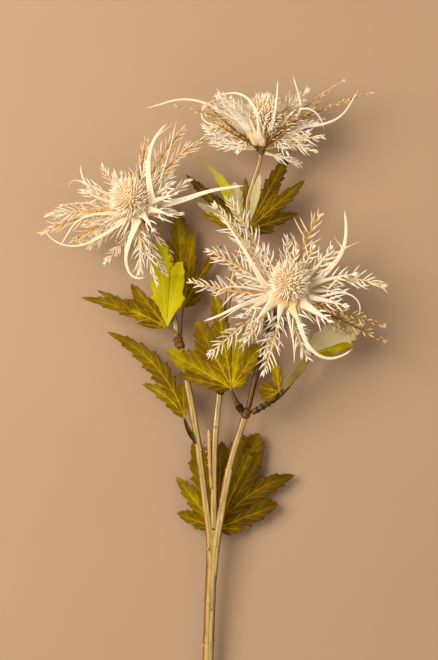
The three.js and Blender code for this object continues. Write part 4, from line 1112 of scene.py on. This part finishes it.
def make_cone(name, head, random):
    """A ball drawn out along its axis, set with slender spines in two spirals."""
    axis = head.axis
    side, up = sides_of(axis)
    centre = head.hub + axis * (HUB_HALF + CONE_CORE - CONE_SUNK)
    core = CONE_CORE - 0.5
    cone = Shape()
    cone.lathe(centre, axis, ball(16, core, core, 0.7, CONE_STRETCH), HUB_SIDES, 0.03)
    for k in range(CONE_SPINES):
        lean = 1 - 1.55 * (k + 0.5) / CONE_SPINES
        out = axis * lean + around(side, up, k) * sqrt(1 - lean * lean)
        reach = CONE_CORE * (1 + CONE_STRETCH * max(lean, 0)) - 0.9
        length = CONE_SPINE * mix(1.3, 1.0, abs(lean)) * random(0.75, 1.25) + 0.9
        way = out + axis * 0.15 + side * random(-0.25, 0.25) + up * random(-0.25, 0.25)
        bend = axis * random(-0.1, 0.25) + side * random(-0.15, 0.15)
        tones = (0.75, random(0.95, 1.3))
        cone.spike(centre + out * reach, way, length, 0.7, bend, tones=tones)
    make(f"{name}_head_spines", cone, CONE, "cone", f"{name}_head_cone")


def make_cup(name, head, random):
    """The brown cup below a hub with its frayed scales, and dry tufts in the hollow below the right head."""
    axis, foot = head.axis, calyx_foot(head)
    side, up = sides_of(axis)
    cup = Shape()
    cup.lathe(foot, axis, CUP, 24, 0.06)
    for k in range(CUP_SCALES):
        out = around(side, up, k)
        high = 3 + 5.5 * (k / CUP_SCALES)
        scale = foot + axis * high + out * 2.4
        cup.spike(scale, out + axis * 0.9, 4.2, 0.7, out * 0.2, tones=(0.1, 0.9), flat=0.6)
    for k in range(WITHERED if name == "right" else 0):
        out = aim(degrees(k * GOLDEN)) * sqrt((k + 0.5) / WITHERED)
        tuft = foot + at(-3, -8, 18) + at(out.x * 6.4, out.y * 6, random(-3, 1))
        way = out + at(random(-0.8, 0.8), random(-0.8, 0.8), 0.5)
        curl = at(random(-0.6, 0.6), random(-0.6, 0.6), -0.3)
        cup.spike(tuft, way, random(3, 6.5), 0.6, curl, 5, 4, (0.0, random(0.2, 1)), 0.7)
    make(f"{name}_head_cup", cup, CALYX, "calyx", f"{name}_head_calyx")


# ---------- The table, the light and the camera ----------

def panel(label, place, size, power, color):
    """A square light that is turned to the middle of the spray."""
    light = bpy.data.lights.new(label, "AREA")
    light.size = size
    light.energy = power
    light.color = color
    lamp = shown(label, light)
    lamp.location = place
    lamp.rotation_euler = (at(0, 0.14, 0) - lamp.location).to_track_quat("-Z", "Y").to_euler()


def studio():
    scene = bpy.context.scene
    scene.view_settings.view_transform = "Standard"
    look = Look("table_paper", Roughness=0.85)
    look.color(look.blend(look.times(look.noise(90, 3), 0.5), "B39374", "A8896A"))
    look.bump(look.noise(0.8, 3), 0.05, 0.1)
    mesh = bpy.data.meshes.new("table")
    mesh.from_pydata([(-4, -4, 0), (4, -4, 0), (4, 4, 0), (-4, 4, 0)], [], [(0, 1, 2, 3)])
    mesh.materials.append(look.material)
    floor = shown("table", mesh)

    panel("key", (-0.9, 0.5, 1.15), 0.95, 27, (1.0, 0.94, 0.86))
    panel("fill", (1.0, -0.4, 1.6), 1.8, 3, (1.0, 0.96, 0.92))
    world = bpy.data.worlds.new("studio")
    world.use_nodes = True
    sky = world.node_tree.nodes["Background"].inputs
    sky["Color"].default_value = (1.0, 0.92, 0.82, 1)
    sky["Strength"].default_value = 0.46
    scene.world = world

    camera = bpy.data.cameras.new("camera")
    camera.sensor_width = 36
    distance = 1.85
    covered = 0.429  # metres of the table, along the view's long side
    camera.lens = camera.sensor_width * distance / covered
    eye = shown("camera", camera)
    eye.location = (0.0036, 0.1446, distance + 0.02)
    scene.camera = eye


stems()
twigs()
sheath("outer_leaf_sheath", [at(45.5, 91.5, 33), at(53, 101, 33.4), at(60, 110.5, 32), at(63.5, 117, 29.6)],
       5.2, (0.42, 0.9), "outer_leaf")
sheath("left_low_leaf_sheath", [at(-11.6, 56.5, 23.2), at(-15.4, 63.5, 23.8), at(-19, 72, 21.4)],
       3.2, (0.0, 0.7), "left_low_leaf")
for name, leaf in LEAVES.items():
    make_leaf(name, leaf)
for name, head in HEADS.items():
    random = Seeded(head.seed + 1000)
    make_combs(name, head, random)
    make_straps(name, head)
    make_cone(name, head, random)
    make_cup(name, head, random)
studio()
